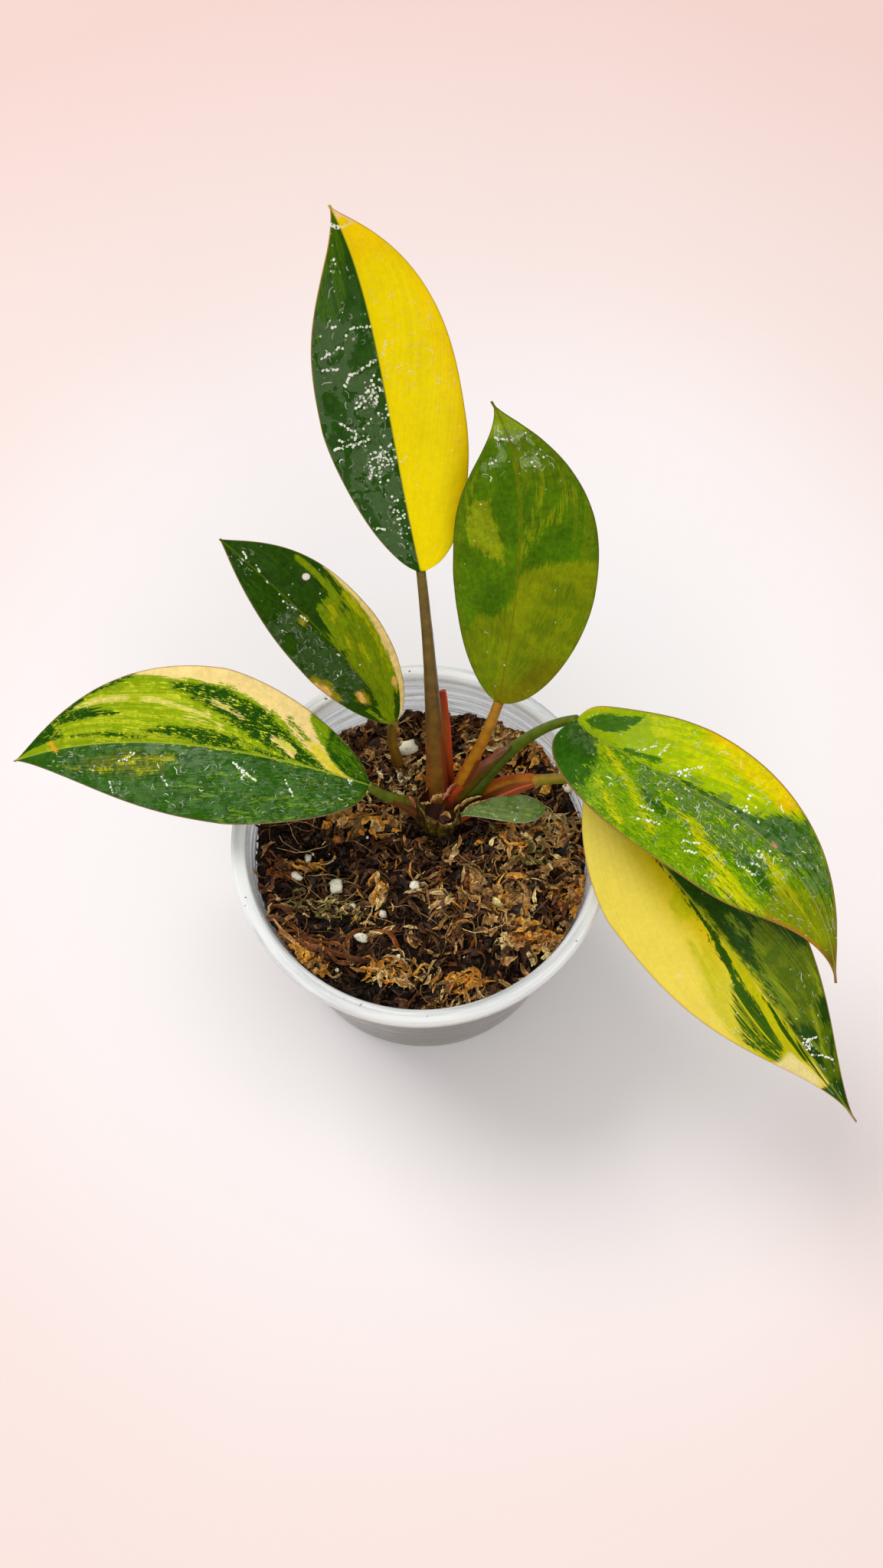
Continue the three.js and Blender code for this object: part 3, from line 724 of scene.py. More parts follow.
PATTERNS["left"] = dict(base=rgb(138, 164, 8), rib=rgb(176, 190, 60), margin=rgb(176, 126, 96),
    margin_width=0.24, mottle=0.06, grit=0.09, layers=[
    layer("sun", rgb(186, 196, 30),
          patch((0.36, 0.05), (0.45, 0.3), (0.62, 0.7), (0.84, 0.95), (0.86, 0.1)), wobble=2.6,
          fleck=1.6, cap=0.0, strength=0.85),
    layer("green", rgb(48, 94, 14), LEFT_HALF, wobble=0.1, fleck=0.05, soft=0.1, vary=0.45),
    # The water film on the left half: its grey-green is a painted reflection.
    layer("film_and_painted_sheen", rgb(76, 112, 52),
          patch((0.02, -1.5), (0.06, -0.06), (0.84, -0.06), (0.96, -1.5)), wobble=2.4, fleck=1.8,
          cap=0.2, strength=0.55, vary=0.3, grain="film_and_painted_sheen", only=-1),
    layer("lime", rgb(122, 156, 30), patch((0.03, -1.0), (0.05, -0.5), (0.37, -0.6), (0.42, -1.0)),
          patch((0.14, -0.05), (0.3, -0.3), (0.2, -0.4), (0.1, -0.15)),
          patch((0.36, -0.36), (0.5, -0.74), (0.62, -0.7), (0.42, -0.3)), wobble=1.9, fleck=2.0,
          soft=0.45, cap=-0.8, strength=0.75),
    layer("glow", rgb(136, 128, 8),
          patch((0.6, -0.2), (0.6, -0.42), (0.7, -0.52), (0.8, -0.58), (0.8, -0.4), (0.72, -0.2)),
          wobble=2.4, fleck=1.6, soft=2.6, cap=1.0, strength=0.5, grain="mottle"),
    layer("dash", rgb(176, 178, 14), stroke(1.4, (0.57, -0.22), (0.63, -0.28)),
          stroke(1.2, (0.62, -0.4), (0.66, -0.44)), stroke(1.8, (0.67, -0.26), (0.72, -0.36)),
          stroke(1.4, (0.73, -0.48), (0.79, -0.56)), stroke(1.0, (0.82, -0.6), (0.86, -0.64)),
          wobble=2.2, fleck=2.2, soft=0.7, cap=0.0, strength=0.75, grain="mottle"),
    layer("dark", rgb(34, 78, 4),
          patch((-0.1, 0.05), (0.1, 0.1), (0.16, 0.35), (0.19, 0.6), (0.19, 1.6), (-0.1, 1.6)),
          patch((0.14, 0.03), (0.28, 0.08), (0.42, 0.26), (0.5, 0.48), (0.6, 0.7), (0.6, 0.8),
          (0.46, 0.74), (0.34, 0.6), (0.25, 0.35), (0.18, 0.15)),
          patch((0.28, 0.02), (0.5, 0.02), (0.66, 0.16), (0.6, 0.24), (0.42, 0.16)),
          patch((0.68, 0.92), (0.8, 0.92), (0.86, 0.75), (0.9, 0.8), (0.9, 1.6), (0.68, 1.6)),
          patch((0.72, 0.46), (0.8, 0.52), (0.88, 0.74), (0.84, 0.86), (0.76, 0.66)),
          patch((0.86, 0.3), (0.92, 0.4), (1.1, 1), (1.1, 1.7), (0.88, 1.6)),
          stroke(1.0, (0.66, 0.05), (0.84, 0.26)), wobble=1.4, fleck=2.0, soft=0.15, vary=0.35),
    layer("crumbs", rgb(50, 94, 2),
          patch((0.2, 0.05), (0.9, 0.05), (0.9, 1.3), (0.6, 1.3), (0.3, 0.5)), wobble=1.4,
          fleck=2.2, soft=0.2, cap=-1.2, strength=0.85),
    layer("flecks", rgb(196, 202, 44),
          patch((0.14, 0.03), (0.9, 0.03), (0.92, 1.2), (0.6, 1.3), (0.3, 0.6)), wobble=1.5,
          fleck=2.4, soft=0.2, cap=-1.05, grain="mottle"),
    layer("mid", rgb(96, 136, 8), patch((0.18, 0.5), (0.22, 0.58), (0.3, 1.6), (0.19, 1.6)),
          patch((0.02, 0.3), (0.08, 0.2), (0.17, 0.6), (0.16, 1.2), (0.06, 1.2)), wobble=1.8,
          fleck=2.0, cap=0.0, strength=0.85),
    layer("cream", rgb(248, 218, 140), patch((0.07, 0.0), (0.15, 0.07), (0.2, 0.25), (0.27, 0.45),
          (0.33, 0.64), (0.45, 0.77), (0.6, 0.83), (0.68, 0.96), (0.68, 1.7), (0.3, 1.7),
          (0.24, 0.8), (0.18, 0.45), (0.12, 0.15)), stroke(1.8, (0.27, 0.16), (0.33, 0.28)),
          fleck=1.2, soft=0.15, vary=0.03),
    layer("island", rgb(112, 136, 10), stroke(1.3, (0.235, 0.48), (0.27, 0.57), (0.3, 0.65)),
          wobble=1.6, fleck=2.2, soft=0.2, vary=0.3),
    layer("fresh", rgb(214, 206, 84), stroke(1.5, (0.27, 0.2), (0.32, 0.28)), wobble=1.2,
          fleck=1.0, soft=0.3),
    layer("veins", rgb(232, 216, 112), stroke(0.8, (0.5, 0.38), (0.66, 0.6)),
          stroke(0.7, (0.46, 0.28), (0.56, 0.34)), stroke(1.2, (0.7, 0.66), (0.82, 0.86)),
          stroke(0.8, (0.42, 0.44), (0.5, 0.58)), fleck=1.2, soft=0.3, strength=0.8),
    layer("gold", rgb(224, 206, 20),
          patch((0.07, 0.0), (0.14, 0.06), (0.2, 0.25), (0.24, 0.45), (0.2, 0.5), (0.12, 0.16)),
          wobble=0.7, soft=1.2, strength=0.9),
    layer("orange", rgb(240, 172, 40), stroke(1.2, (0.885, -0.1), (0.895, 0.3)), soft=0.6),
])

PATTERNS["right"] = dict(base=rgb(158, 186, 0), rib=rgb(150, 160, 60), margin=rgb(160, 116, 62),
    margin_width=0.42, mottle=0.05, grit=0.12, layers=[
    layer("gold", rgb(232, 194, 0),
          patch((0.33, -1.6), (0.37, -0.85), (0.5, -0.62), (0.62, -0.66), (0.68, -1.6)),
          patch((0, -1.6), (0, -0.8), (0.1, -0.95), (0.12, -1.6)), wobble=2.2, fleck=1.6, soft=2.0,
          vary=0.08),
    layer("sun", rgb(206, 208, 4), patch((0.22, -1), (0.3, -0.2), (0.55, -0.3), (0.6, -0.9)),
          wobble=2.4, fleck=1.2, soft=0.8, cap=0.2, strength=0.7),
    layer("mid", rgb(80, 128, 2), patch((0.15, 0.0), (1.1, 0.0), (1.1, 1.6), (0.2, 1.6)),
          wobble=2.2, fleck=2.4, soft=0.3, cap=0.7, vary=0.35, grain="mottle"),
    layer("green", rgb(64, 112, 2), patch((0.03, -0.28), (0.09, -0.7), (0.2, -0.86), (0.21, -0.8),
          (0.17, -0.45), (0.12, -0.22), (0.07, -0.12)), stroke(1.5, (0.2, -0.08), (0.3, -0.18)),
          wobble=1.0, fleck=1.2, soft=0.25, vary=0.25),
    layer("dark", rgb(48, 96, 0), patch((0.35, 0), (0.46, -0.08), (0.58, -0.24), (0.61, -0.55),
          (0.66, -0.8), (0.67, -1.6), (1.1, -1.6), (1.1, 0)),
          patch((-0.1, 0.05), (0.1, 0.08), (0.18, 0.35), (0.19, 0.8), (0.18, 1.6), (-0.1, 1.6)),
          patch((0.28, 0.3), (0.32, 0.5), (0.4, 0.55), (0.36, 0.35)),
          patch((0.56, 0.3), (0.7, 0.6), (0.76, 0.55), (0.66, 0.3)), wobble=1.2, fleck=1.6,
          soft=0.2, vary=0.35),
    layer("bright", rgb(128, 164, 2),
          patch((0.14, 0.1), (0.2, 0.1), (0.34, 0.5), (0.34, 0.9), (0.2, 0.8)),
          patch((0.68, -1.0), (0.7, -0.1), (0.96, -0.1), (0.96, -1.0)),
          patch((0.3, 0.55), (0.5, 0.5), (0.8, 0.8), (0.9, 1.0), (0.3, 1.0)),
          patch((0.68, 0.1), (0.94, 0.1), (0.94, 0.7), (0.76, 0.5)), wobble=2, fleck=2.6, soft=0.4,
          cap=0.1, strength=0.8, vary=0.25),
    # The water film: its grey-green is a painted reflection.
    layer("film_and_painted_sheen", rgb(84, 114, 52), patch((0.34, -0.03), (0.5, -0.08), (0.6, -0.3), (0.66, -0.85),
          (0.8, -0.85), (0.8, -0.05), (0.68, 0.1), (0.68, 0.4), (0.52, 0.45), (0.3, 0.4),
          (0.28, 0.06)), patch((0.0, 0.1), (0.12, 0.1), (0.14, 0.35), (0.02, 0.5)), wobble=2.4,
          fleck=2.0, cap=0.3, strength=0.6, vary=0.35, grain="film_and_painted_sheen"),
    layer("yellow", rgb(206, 204, 2), patch((0.4, 0.34), (0.47, 0.34), (0.58, 0.6), (0.5, 0.6)),
          stroke(1.2, (0.3, 0.5), (0.37, 0.72)),
          patch((0.5, 0.62), (0.56, 0.58), (0.8, 0.95), (0.62, 0.92)),
          patch((0.64, 0.16), (0.72, 0.2), (0.92, 0.45), (0.74, 0.4)),
          stroke(0.8, (0.15, 0.08), (0.28, 0.42)), stroke(1.0, (0.2, 0.6), (0.3, 0.9)), wobble=1.5,
          fleck=2.4, soft=0.25, cap=0.5),
    layer("specks", rgb(176, 192, 8), patch((0.14, 0.04), (1.0, 0.04), (1.0, 1.3), (0.2, 1.3)),
          wobble=1.4, fleck=2.4, soft=0.2, cap=-1.35, grain="mottle"),
    layer("crumbs", rgb(56, 100, 2), patch((0.14, 0.04), (1.0, 0.04), (1.0, 1.3), (0.2, 1.3)),
          patch((0.6, -0.1), (0.66, -1), (1, -1), (1, -0.1)), wobble=1.4, fleck=2.4, soft=0.25,
          cap=-1.3, strength=0.9),
    layer("brown", rgb(186, 120, 20),
          patch((0.78, 0.92), (0.9, 0.76), (0.94, 0.6), (0.94, 1.6), (0.78, 1.6)), wobble=1.2,
          soft=1.6),
    layer("olive", rgb(138, 128, 6), patch((0.8, -1.6), (0.84, -0.6), (0.8, 0.0), (0.72, 0.3),
          (0.8, 1.6), (1.1, 1.6), (1.1, -1.6)), wobble=1.8, fleck=2, soft=2.6, cap=1.5,
          strength=0.55),
    layer("tip", rgb(112, 92, 8), patch((0.93, -1.6), (0.93, 1.6), (1.1, 1.6), (1.1, -1.6)),
          wobble=1, soft=3),
    layer("pink", rgb(200, 120, 104), spot(0.65, -0.05, 0.7), wobble=0.2, soft=0.4),
])

PATTERNS["front_right"] = dict(base=rgb(236, 212, 80), rib=rgb(150, 160, 50),
    margin=rgb(200, 150, 120), margin_width=0.22, mottle=0.02, grit=0.04, layers=[
    layer("gold", rgb(218, 192, 0),
          patch((0.08, -0.1), (0.52, -0.1), (0.56, 0.3), (0.36, 0.3), (0.14, 0.2)), wobble=0.6,
          fleck=0.3, soft=5, vary=0.02),
    layer("olive", rgb(186, 186, 0), patch((0.34, 0), (0.43, 0), (0.42, 0.28), (0.37, 0.26)),
          stroke(0.9, (0.47, 0.34), (0.54, 0.42), (0.6, 0.58)), wobble=1.0, fleck=0.8, soft=0.7,
          cap=1, strength=0.75),
    layer("haze", rgb(196, 190, 4),
          patch((0.5, 0.2), (0.5, 0.4), (0.7, 0.95), (0.8, 1.1), (0.8, 0.3)), wobble=1.6,
          fleck=1.6, soft=2, cap=1.5, strength=0.7),
    layer("green", rgb(108, 124, 0), LEFT_HALF, wobble=0.1, fleck=0.05, soft=0.15, vary=0.3),
    layer("moss", rgb(60, 88, 0), patch((0.4, -1.4), (0.4, -0.1), (0.96, -0.1), (0.96, -1.4)),
          wobble=2.4, fleck=2.4, cap=0.3, strength=0.8, vary=0.25, grain="mottle"),
    layer("leaflight", rgb(142, 154, 10), stroke(1.6, (0.74, -0.65), (0.84, -0.45)),
          stroke(0.7, (0.56, -0.2), (0.74, -0.3)), stroke(0.8, (0.62, -0.85), (0.76, -0.95)),
          wobble=1.4, fleck=1.8, strength=0.8),
    layer("dark", rgb(34, 66, 0), patch((-0.1, 0), (-0.1, -0.55), (0.2, -0.45), (0.42, -0.3),
          (0.52, -0.52), (0.57, -0.22), (0.8, -0.12), (0.8, 0)),
          patch((0.25, -1.6), (0.34, -0.8), (0.5, -0.55), (0.62, -0.8), (0.6, -1.6)),
          patch((0.9, -1.6), (0.9, -0.5), (0.89, 0), (1.1, 0), (1.1, -1.6)),
          patch((0.73, -1.6), (0.74, -0.7), (0.79, -0.75), (0.8, -1.6)),
          patch((0.76, -0.3), (0.79, -0.5), (0.86, -0.3), (0.89, 0), (0.78, 0)),
          stroke(2.0, (0.82, -0.95), (0.87, -0.6)), wobble=1.4, fleck=2.2, soft=0.25, vary=0.4),
    layer("streaks", rgb(124, 146, 24), stroke(1.1, (0.56, -0.06), (0.74, -0.07)),
          stroke(0.9, (0.62, -0.16), (0.74, -0.22)), stroke(1.4, (0.8, -0.2), (0.84, -0.5)),
          stroke(1.1, (0.48, -0.22), (0.58, -0.34)), stroke(1.2, (0.84, -0.05), (0.93, -0.2)),
          wobble=1.2, fleck=2.2, soft=0.3, cap=0.2, strength=0.75),
    layer("lime", rgb(194, 188, 4), patch((0.42, -0.02), (0.52, 0.08), (0.6, 0.25), (0.68, 0.65),
          (0.78, 1), (0.82, 0.6), (0.84, 0.2), (0.84, -0.02)), wobble=1.6, fleck=1, soft=1.0),
    layer("band", rgb(44, 80, 0), patch((0.38, 0.0), (0.5, 0.0), (0.6, 0.2), (0.52, 0.14)),
          stroke(1.6, (0.66, 0.02), (0.82, 0.2)), stroke(2.0, (0.8, 0.05), (0.9, 0.3)), wobble=1.7,
          fleck=1.6, soft=0.25, cap=0.7, vary=0.35),
    layer("marble", rgb(52, 90, 0),
          patch((0.58, 0.14), (0.68, 0.18), (0.77, 0.46), (0.8, 0.86), (0.72, 0.86), (0.64, 0.5)),
          wobble=1.9, fleck=1.7, soft=0.3, cap=0.45, vary=0.35),
    layer("cream", rgb(238, 220, 140),
          patch((0.795, 0.38), (0.885, 0.42), (0.89, 1.6), (0.795, 1.6)), soft=1),
    layer("tip", rgb(50, 86, 8),
          patch((0.89, -0.2), (0.9, 0.3), (0.89, 1.6), (1.1, 1.6), (1.1, -0.2)), soft=0.4,
          vary=0.25),
])

PATTERNS["small"] = dict(base=rgb(92, 120, 44), rib=rgb(132, 146, 78), margin=rgb(206, 192, 150),
    margin_width=0.24, mottle=0.1, grit=0.12, layers=[
    # The water film: its paler grey-green is a painted reflection.
    layer("film_and_painted_sheen", rgb(122, 144, 82), patch((0.1, -1), (0.1, 1), (0.95, 0.9), (0.95, -0.9)),
          wobble=1.2, cap=0.2, strength=0.6, grain="film_and_painted_sheen"),
    layer("lime", rgb(150, 164, 84), stroke(0.3, (0.2, 0.2), (0.4, 0.5), (0.66, 0.7)),
          stroke(0.25, (0.3, 0.0), (0.56, 0.1)), stroke(0.5, (0.74, 0.0), (0.84, 0.1)),
          stroke(0.4, (0.76, 0.4), (0.8, 0.5)), wobble=0.4, fleck=0.4, soft=0.3),
])


def spread(mat, noise):
    """A noise moved to run from about -1 to 1."""
    return mat.swing(noise, 4.5)


def leaf_colour(mat, plan, seed):
    """The colour of a blade's upper face, and how much of it a water film covers. The film's
    grey-green colour is a painted reflection, and the light lines along parts of its edge are
    painted glints.
    """
    vein, outward, side = (mat.field(f) for f in ("vein", "outward", "side"))
    turn = mat.plus(mat.times(side, 11.0), seed * 3.7)
    place = mat.place()

    def along_veins(across, along):
        return mat.vector(mat.times(vein, across), mat.times(outward, along), turn)

    grains = {
        "streak": spread(mat, mat.noise(along_veins(0.13, 0.4), 1.0, 4, 0.72)),
        "mottle": spread(mat, mat.noise(place, 0.4, 4.5, 0.74)),
        "film_and_painted_sheen": spread(mat, mat.noise(place, 0.3, 4, 0.5, 0.8)),
    }
    fleck = spread(mat, mat.noise(along_veins(0.5, 1.7), 1.0, 4, 0.75))
    speckle = mat.plus(mat.times(grains["mottle"], 0.6), mat.times(fleck, 0.7))
    colour = plan["base"]
    film_and_painted_sheen = 0.0
    for part in plan["layers"]:
        wander = mat.times(grains[part["grain"]], part["wobble"])
        edge = mat.plus(mat.plus(mat.field(part["name"]), wander), mat.times(fleck, part["fleck"]))
        share = mat.band(edge, -part["soft"], part["soft"], 0.0, part["strength"])
        varied = mat.band(speckle, -1.2, 1.2, 1 - part["vary"], 1 + part["vary"])
        colour = mat.blend(share, colour, mat.shade(part["colour"], varied))
        # A film layer's grey-green colour is a painted reflection of the bright surroundings; its
        # share also sets the coat and bump of the real water film.
        if part["name"] == "film_and_painted_sheen":
            film_and_painted_sheen = share
            # A painted glint along parts of the film's edge.
            painted_film_edge_glint = mat.band(mat.math("ABSOLUTE", edge), 0.0, 0.3, 0.5, 0.0)
            painted_film_edge_glint = mat.times(painted_film_edge_glint, mat.band(mat.noise(place, 0.9, 2), 0.45, 0.6))
            colour = mat.blend(painted_film_edge_glint, colour, rgb(176, 200, 160))
    mottle, grit = plan["mottle"], plan["grit"]
    tone = mat.band(mat.noise(place, 0.14, 3, 0.6), 0.3, 0.7, 1 - mottle, 1 + mottle)
    fine = mat.band(mat.noise(place, 0.8, 4, 0.75), 0.3, 0.7, 1 - grit, 1 + grit)
    colour = mat.shade(colour, mat.times(tone, fine))
    lines = mat.noise(along_veins(0.9, 0.05), 1.0, 2)
    return mat.shade(colour, mat.band(lines, 0.3, 0.7, 0.96, 1.04)), film_and_painted_sheen


def leaf_material(name, plan, seed):
    mat = Material("leaf_" + name)
    colour, film_and_painted_sheen = leaf_colour(mat, plan, seed)
    place = mat.place()
    rib = mat.band(mat.field("outward"), 0.08, 0.3, 0.6, 0.0)
    colour = mat.blend(rib, colour, plan["rib"])
    wide = plan["margin_width"]
    margin = mat.band(mat.field("edge"), 0.4 * wide, 1.4 * wide, 0.8, 0.0)
    colour = mat.blend(margin, colour, plan["margin"])
    under = mat.field("under")
    colour = mat.blend(mat.times(under, 0.35), colour, rgb(140, 150, 84))
    roughness = mat.band(mat.noise(place, 0.35, 3), 0.35, 0.65, 0.3, 0.45)
    roughness = mat.plus(roughness, mat.times(under, 0.2))
    normal = mat.bump(mat.noise(place, 1.1, 3), 0.12, 0.25)
    normal = mat.bump(film_and_painted_sheen, 0.25, 0.7, normal)
    return mat.surface(colour=colour, roughness=roughness, normal=normal, specular=0.05,
                       coat=mat.plus(mat.times(film_and_painted_sheen, 0.25), 0.015), coat_roughness=0.08)


def blade_grid(rows, columns):
    even = np.linspace(0, 1, rows + 1)
    s = lerp(even, 0.5 - 0.5 * np.cos(np.pi * even), 0.45)
    u = np.linspace(-1, 1, columns + 1)
    h = np.sign(u) * np.abs(u) ** 1.25
    s, h = np.meshgrid(s, h, indexing="ij")
    return s.ravel(), h.ravel()


def sheet_faces(rows, columns):
    """Both faces of a grid of points and the wall round its edge."""
    stride = columns + 1
    under = (rows + 1) * stride
    faces = []
    for i in range(rows):
        for j in range(columns):
            a = i * stride + j
            b = a + stride
            faces.append((a, a + 1, b + 1, b))
            faces.append((under + a, under + b, under + b + 1, under + a + 1))
    edge = list(range(columns)) + [i * stride + columns for i in range(rows)]
    edge += [rows * stride + j for j in range(columns, 0, -1)]
    edge += [i * stride for i in range(rows, 0, -1)]
    for a, b in zip(edge, edge[1:] + edge[:1]):
        faces.append((a, under + a, under + b, b))
    return faces


def leaf_fields(leaf, plan, s, h):
    """What a leaf's material reads at each point."""
    width = blade_width(leaf, s, h)
    fields = {
        "vein": vein_place(leaf, s, h),
        "outward": np.abs(h) * width,
        "side": np.where(h > 0, 1.0, -1.0),
        "edge": (1 - np.abs(h)) * width,
    }
    for part in plan["layers"]:
        depth = np.full(s.shape, -FAR)
        for shape in part["shapes"]:
            depth = np.maximum(depth, depth_inside(leaf, shape, s, h))
        depth = np.where(part["only"] * h < 0, -FIELD_END, depth)
        fields[part["name"]] = np.clip(depth, -FIELD_END, part["cap"])
    return fields


def make_blade(name, leaf, seed):
    rows, columns = (140, 56) if name != "small" else (50, 24)
    s, h = blade_grid(rows, columns)
    relief = blade_relief(leaf, s, h, seed)
    keel = lerp(1.4 * leaf["petiole_radius"][1], 0.1, np.sqrt(s)) * np.exp(-((h / 0.09) ** 2))
    rounding = SHEET / 2 * (1 - 0.6 * smooth((np.abs(h) - 0.94) / 0.06))
    rounding = rounding * (1 - 0.6 * smooth((s - 0.9) / 0.1))
    upper = blade_points(leaf, s, h, relief + rounding)
    lower = blade_points(leaf, s, h, relief - rounding - keel)
    fields = leaf_fields(leaf, PATTERNS[name], s, h)
    fields = {key: np.concatenate([value, value]) for key, value in fields.items()}
    fields["under"] = np.repeat([0.0, 1.0], len(s))
    node = "blade_" + name
    material = leaf_material(name, PATTERNS[name], seed)
    faces = sheet_faces(rows, columns)
    piece("leaf_" + name, np.concatenate([upper, lower]), faces, material, [node], fields)


def make_leaves():
    for seed, (name, leaf) in enumerate(LEAVES.items()):
        make_blade(name, leaf, LEAF_SEED + seed)


# Petioles. The colours run from the foot to the top, and the sheath's rims have their own.
# Wing says how open the sheath is, with rims that stand up beside a hollow. Swell is the
# middle, height in mm and reach of a fuller part. Flank is a side in another colour: left (-1)
# or right (1), the colour, the share of the petiole that it ends at and its reach round it.
# Edge is the height of a thin edge there, which lift turns up and flare widens.
def petiole(colours, stripe, rim, wing, swell, flank, rim_width=0.24, edge=0, lift=0, flare=0):
    return dict(colours=colours, stripe=stripe, rim=rim, wing=wing, swell=swell, flank=flank,
                rim_width=rim_width, edge=edge, lift=lift, flare=flare)


PETIOLES = {
    "tall": petiole(
        colours=[(0, rgb(160, 84, 22)), (0.2, rgb(130, 76, 30)), (0.5, rgb(104, 76, 34)),
                 (1, rgb(106, 90, 34))],
        stripe=rgb(118, 94, 34), rim=rgb(110, 56, 24), wing=0.1,
        swell=(0.1, 1.05, 0.45), flank=(1, rgb(136, 58, 26), 0.34, 0.7)),
    "upright": petiole(
        colours=[(0, rgb(84, 22, 8)), (0.2, rgb(150, 64, 16)), (0.4, rgb(172, 98, 18)),
                 (1, rgb(158, 110, 20))],
        stripe=rgb(190, 132, 30), rim=rgb(110, 26, 14), wing=0.2,
        swell=(0.3, 0.1, 0.2), flank=(1, rgb(92, 28, 14), 0.58, 0.6), edge=0.5),
    "back_left": petiole(
        colours=[(0, rgb(104, 62, 10)), (0.5, rgb(120, 84, 16)), (1, rgb(102, 84, 14))],
        stripe=rgb(140, 108, 20), rim=rgb(110, 84, 10), wing=0.1,
        swell=(0.3, 0.1, 0.2), flank=(1, rgb(120, 66, 20), 1.0, 0.8)),
    "left": petiole(
        colours=[(0, rgb(112, 66, 30)), (0.3, rgb(100, 84, 26)), (0.6, rgb(86, 102, 22)),
                 (1, rgb(104, 118, 30))],
        stripe=rgb(116, 120, 36), rim=rgb(130, 96, 50), wing=0.3,
        swell=(0.12, 0.7, 0.35), flank=(-1, rgb(110, 60, 30), 0.6, 0.8)),
    "right": petiole(
        colours=[(0, rgb(72, 50, 6)), (0.12, rgb(66, 66, 4)), (0.3, rgb(62, 80, 2)),
                 (0.55, rgb(72, 90, 2)), (1, rgb(106, 128, 10))],
        stripe=rgb(86, 106, 6), rim=rgb(110, 34, 12), wing=0.05,
        swell=(0.2, 0.95, 0.3), flank=(-1, rgb(136, 56, 22), 0.5, 0.4), edge=0.6,
        lift=0.45, flare=3.2),
    "front_right": petiole(
        colours=[(0, rgb(120, 40, 14)), (0.2, rgb(176, 84, 16)), (0.55, rgb(192, 108, 24)),
                 (0.6, rgb(196, 112, 30)), (0.64, rgb(132, 122, 24)), (1, rgb(122, 124, 20))],
        stripe=rgb(176, 122, 26), rim=rgb(204, 92, 62), wing=0.8, rim_width=0.1,
        swell=(0.36, 1.15, 0.2), flank=(1, rgb(146, 66, 34), 0.62, 0.9)),
}
RIM_TURN = math.radians(56)


def turned(angle, middle):
    """How far each angle is from a middle one, either way round."""
    return np.abs((angle - middle + np.pi) % (2 * np.pi) - np.pi)


def petiole_form(leaf, plan, t, angle):
    """The radius of a petiole at each point, and what its material reads there."""
    until = leaf["sheath_until"]
    belly, bulge, reach = plan["swell"]
    radius = lerp(*leaf["petiole_radius"], t) + leaf["sheath_extra"] * (1 - smooth(t / until))
    past = 1 - plan["wing"] * smooth((t - until + 0.02) / 0.04)
    radius = radius + bulge * np.exp(-(((t - belly) / reach) ** 2)) * past
    from_top = turned(angle, np.pi / 2)
    open_part = smooth(t / 0.08) * (1 - smooth((t - 0.93 * until) / (0.07 * until)))
    deep = 0.14 + 0.6 * plan["wing"] * open_part
    radius = radius * (1 - deep * np.exp(-((from_top / lerp(0.45, 0.75, open_part)) ** 2)))
    ridge = np.exp(-(((from_top - RIM_TURN) / plan["rim_width"]) ** 2))
    radius = radius + plan["wing"] * open_part * ridge * 0.9
    side, _, flank_until, flank_reach = plan["flank"]
    shown = 1 - smooth((t - flank_until + 0.02) / 0.02)
    from_side = turned(angle, plan["lift"] if side < 0 else np.pi - plan["lift"])
    flange = np.exp(-((from_side / 0.32) ** 2)) * shown * smooth(t / 0.1)
    flare = plan["flare"] * np.clip(1 - t / 0.36, 0, 1)
    radius = radius + (plan["edge"] + flare) * flange
    flank = shown * smooth(1 + (flank_reach - from_side) / 0.4)
    return radius, {"from_top": from_top, "rim": ridge * open_part, "flank": flank}


def make_petiole(name, leaf, plan):
    rings, sides = 80, 56
    t, angle = tube_grid(rings, sides)
    at, along = bezier(leaf["petiole"], t)
    normal = square_to(along, leaf["face"][0])
    across = np.cross(along, normal)
    radius, fields = petiole_form(leaf, plan, t, angle)
    uneven = layered(t * 14, np.cos(angle), np.sin(angle), 90 + len(name), 3) - 0.5
    radius = radius * (1 + 0.07 * uneven)
    points = at - across * (radius * np.cos(angle))[:, None]
    points = points + normal * (radius * np.sin(angle))[:, None]
    fields = {key: np.append(value, [0, 0]) for key, value in fields.items()}
    fields["along"] = np.append(t, [0, 1])
    node = "petiole_" + name
    piece("stalk_" + name, with_ends(points, sides), ring_faces(rings, sides),
          petiole_material(name, plan), [node], fields)


def petiole_material(name, plan):
    mat = Material("stalk_" + name)
    along, from_top = mat.field("along"), mat.field("from_top")
    place = mat.place()
    strand = mat.strands(along, from_top)
    shifted = mat.plus(along, mat.swing(strand, 0.12))
    colour = mat.ramp(shifted, plan["colours"])
    stripe = mat.band(mat.plus(from_top, mat.times(strand, 0.5)), 0.5, 1.0, 0.55, 0.0)
    colour = mat.blend(stripe, colour, plan["stripe"])
    colour = mat.shade(colour, mat.band(mat.noise(place, 0.4, 4), 0.3, 0.7, 0.78, 1.18))
    speck = mat.band(mat.noise(place, 2.6, 2), 0.66, 0.72, 0.0, 0.4)
    colour = mat.blend(speck, colour, rgb(176, 150, 80))
    flank = mat.plus(mat.field("flank"), mat.swing(strand, 0.8))
    colour = mat.blend(mat.band(flank, 0.15, 0.6, 0.0, 0.85), colour, plan["flank"][1])
    rim = mat.times(mat.field("rim"), plan["wing"])
    colour = mat.blend(mat.band(rim, 0.2, 0.55), colour, plan["rim"])
    normal = mat.bump(strand, 0.2, 0.3)
    roughness = mat.band(strand, 0.3, 0.7, 0.3, 0.45)
    return mat.surface(colour=colour, roughness=roughness, normal=normal, coat=0.08,
                       coat_roughness=0.15, specular=0.2)


def make_petioles():
    for name, plan in PETIOLES.items():
        make_petiole(name, LEAVES[name], plan)


# The open edge of the right petiole's sheath: a wing wrapped forward over the next petiole.
WING_EDGE = [(5.9, 11.6, 64), (6.1, 12.1, 77.1), (12.5, 14.9, 86.4), (23, 22.5, 86.2)]
WING_SEAM = [(10.6, 10.5, 64.6), (12.6, 13.9, 73), (18.9, 15.6, 80.5), (23.7, 21.6, 85.7)]


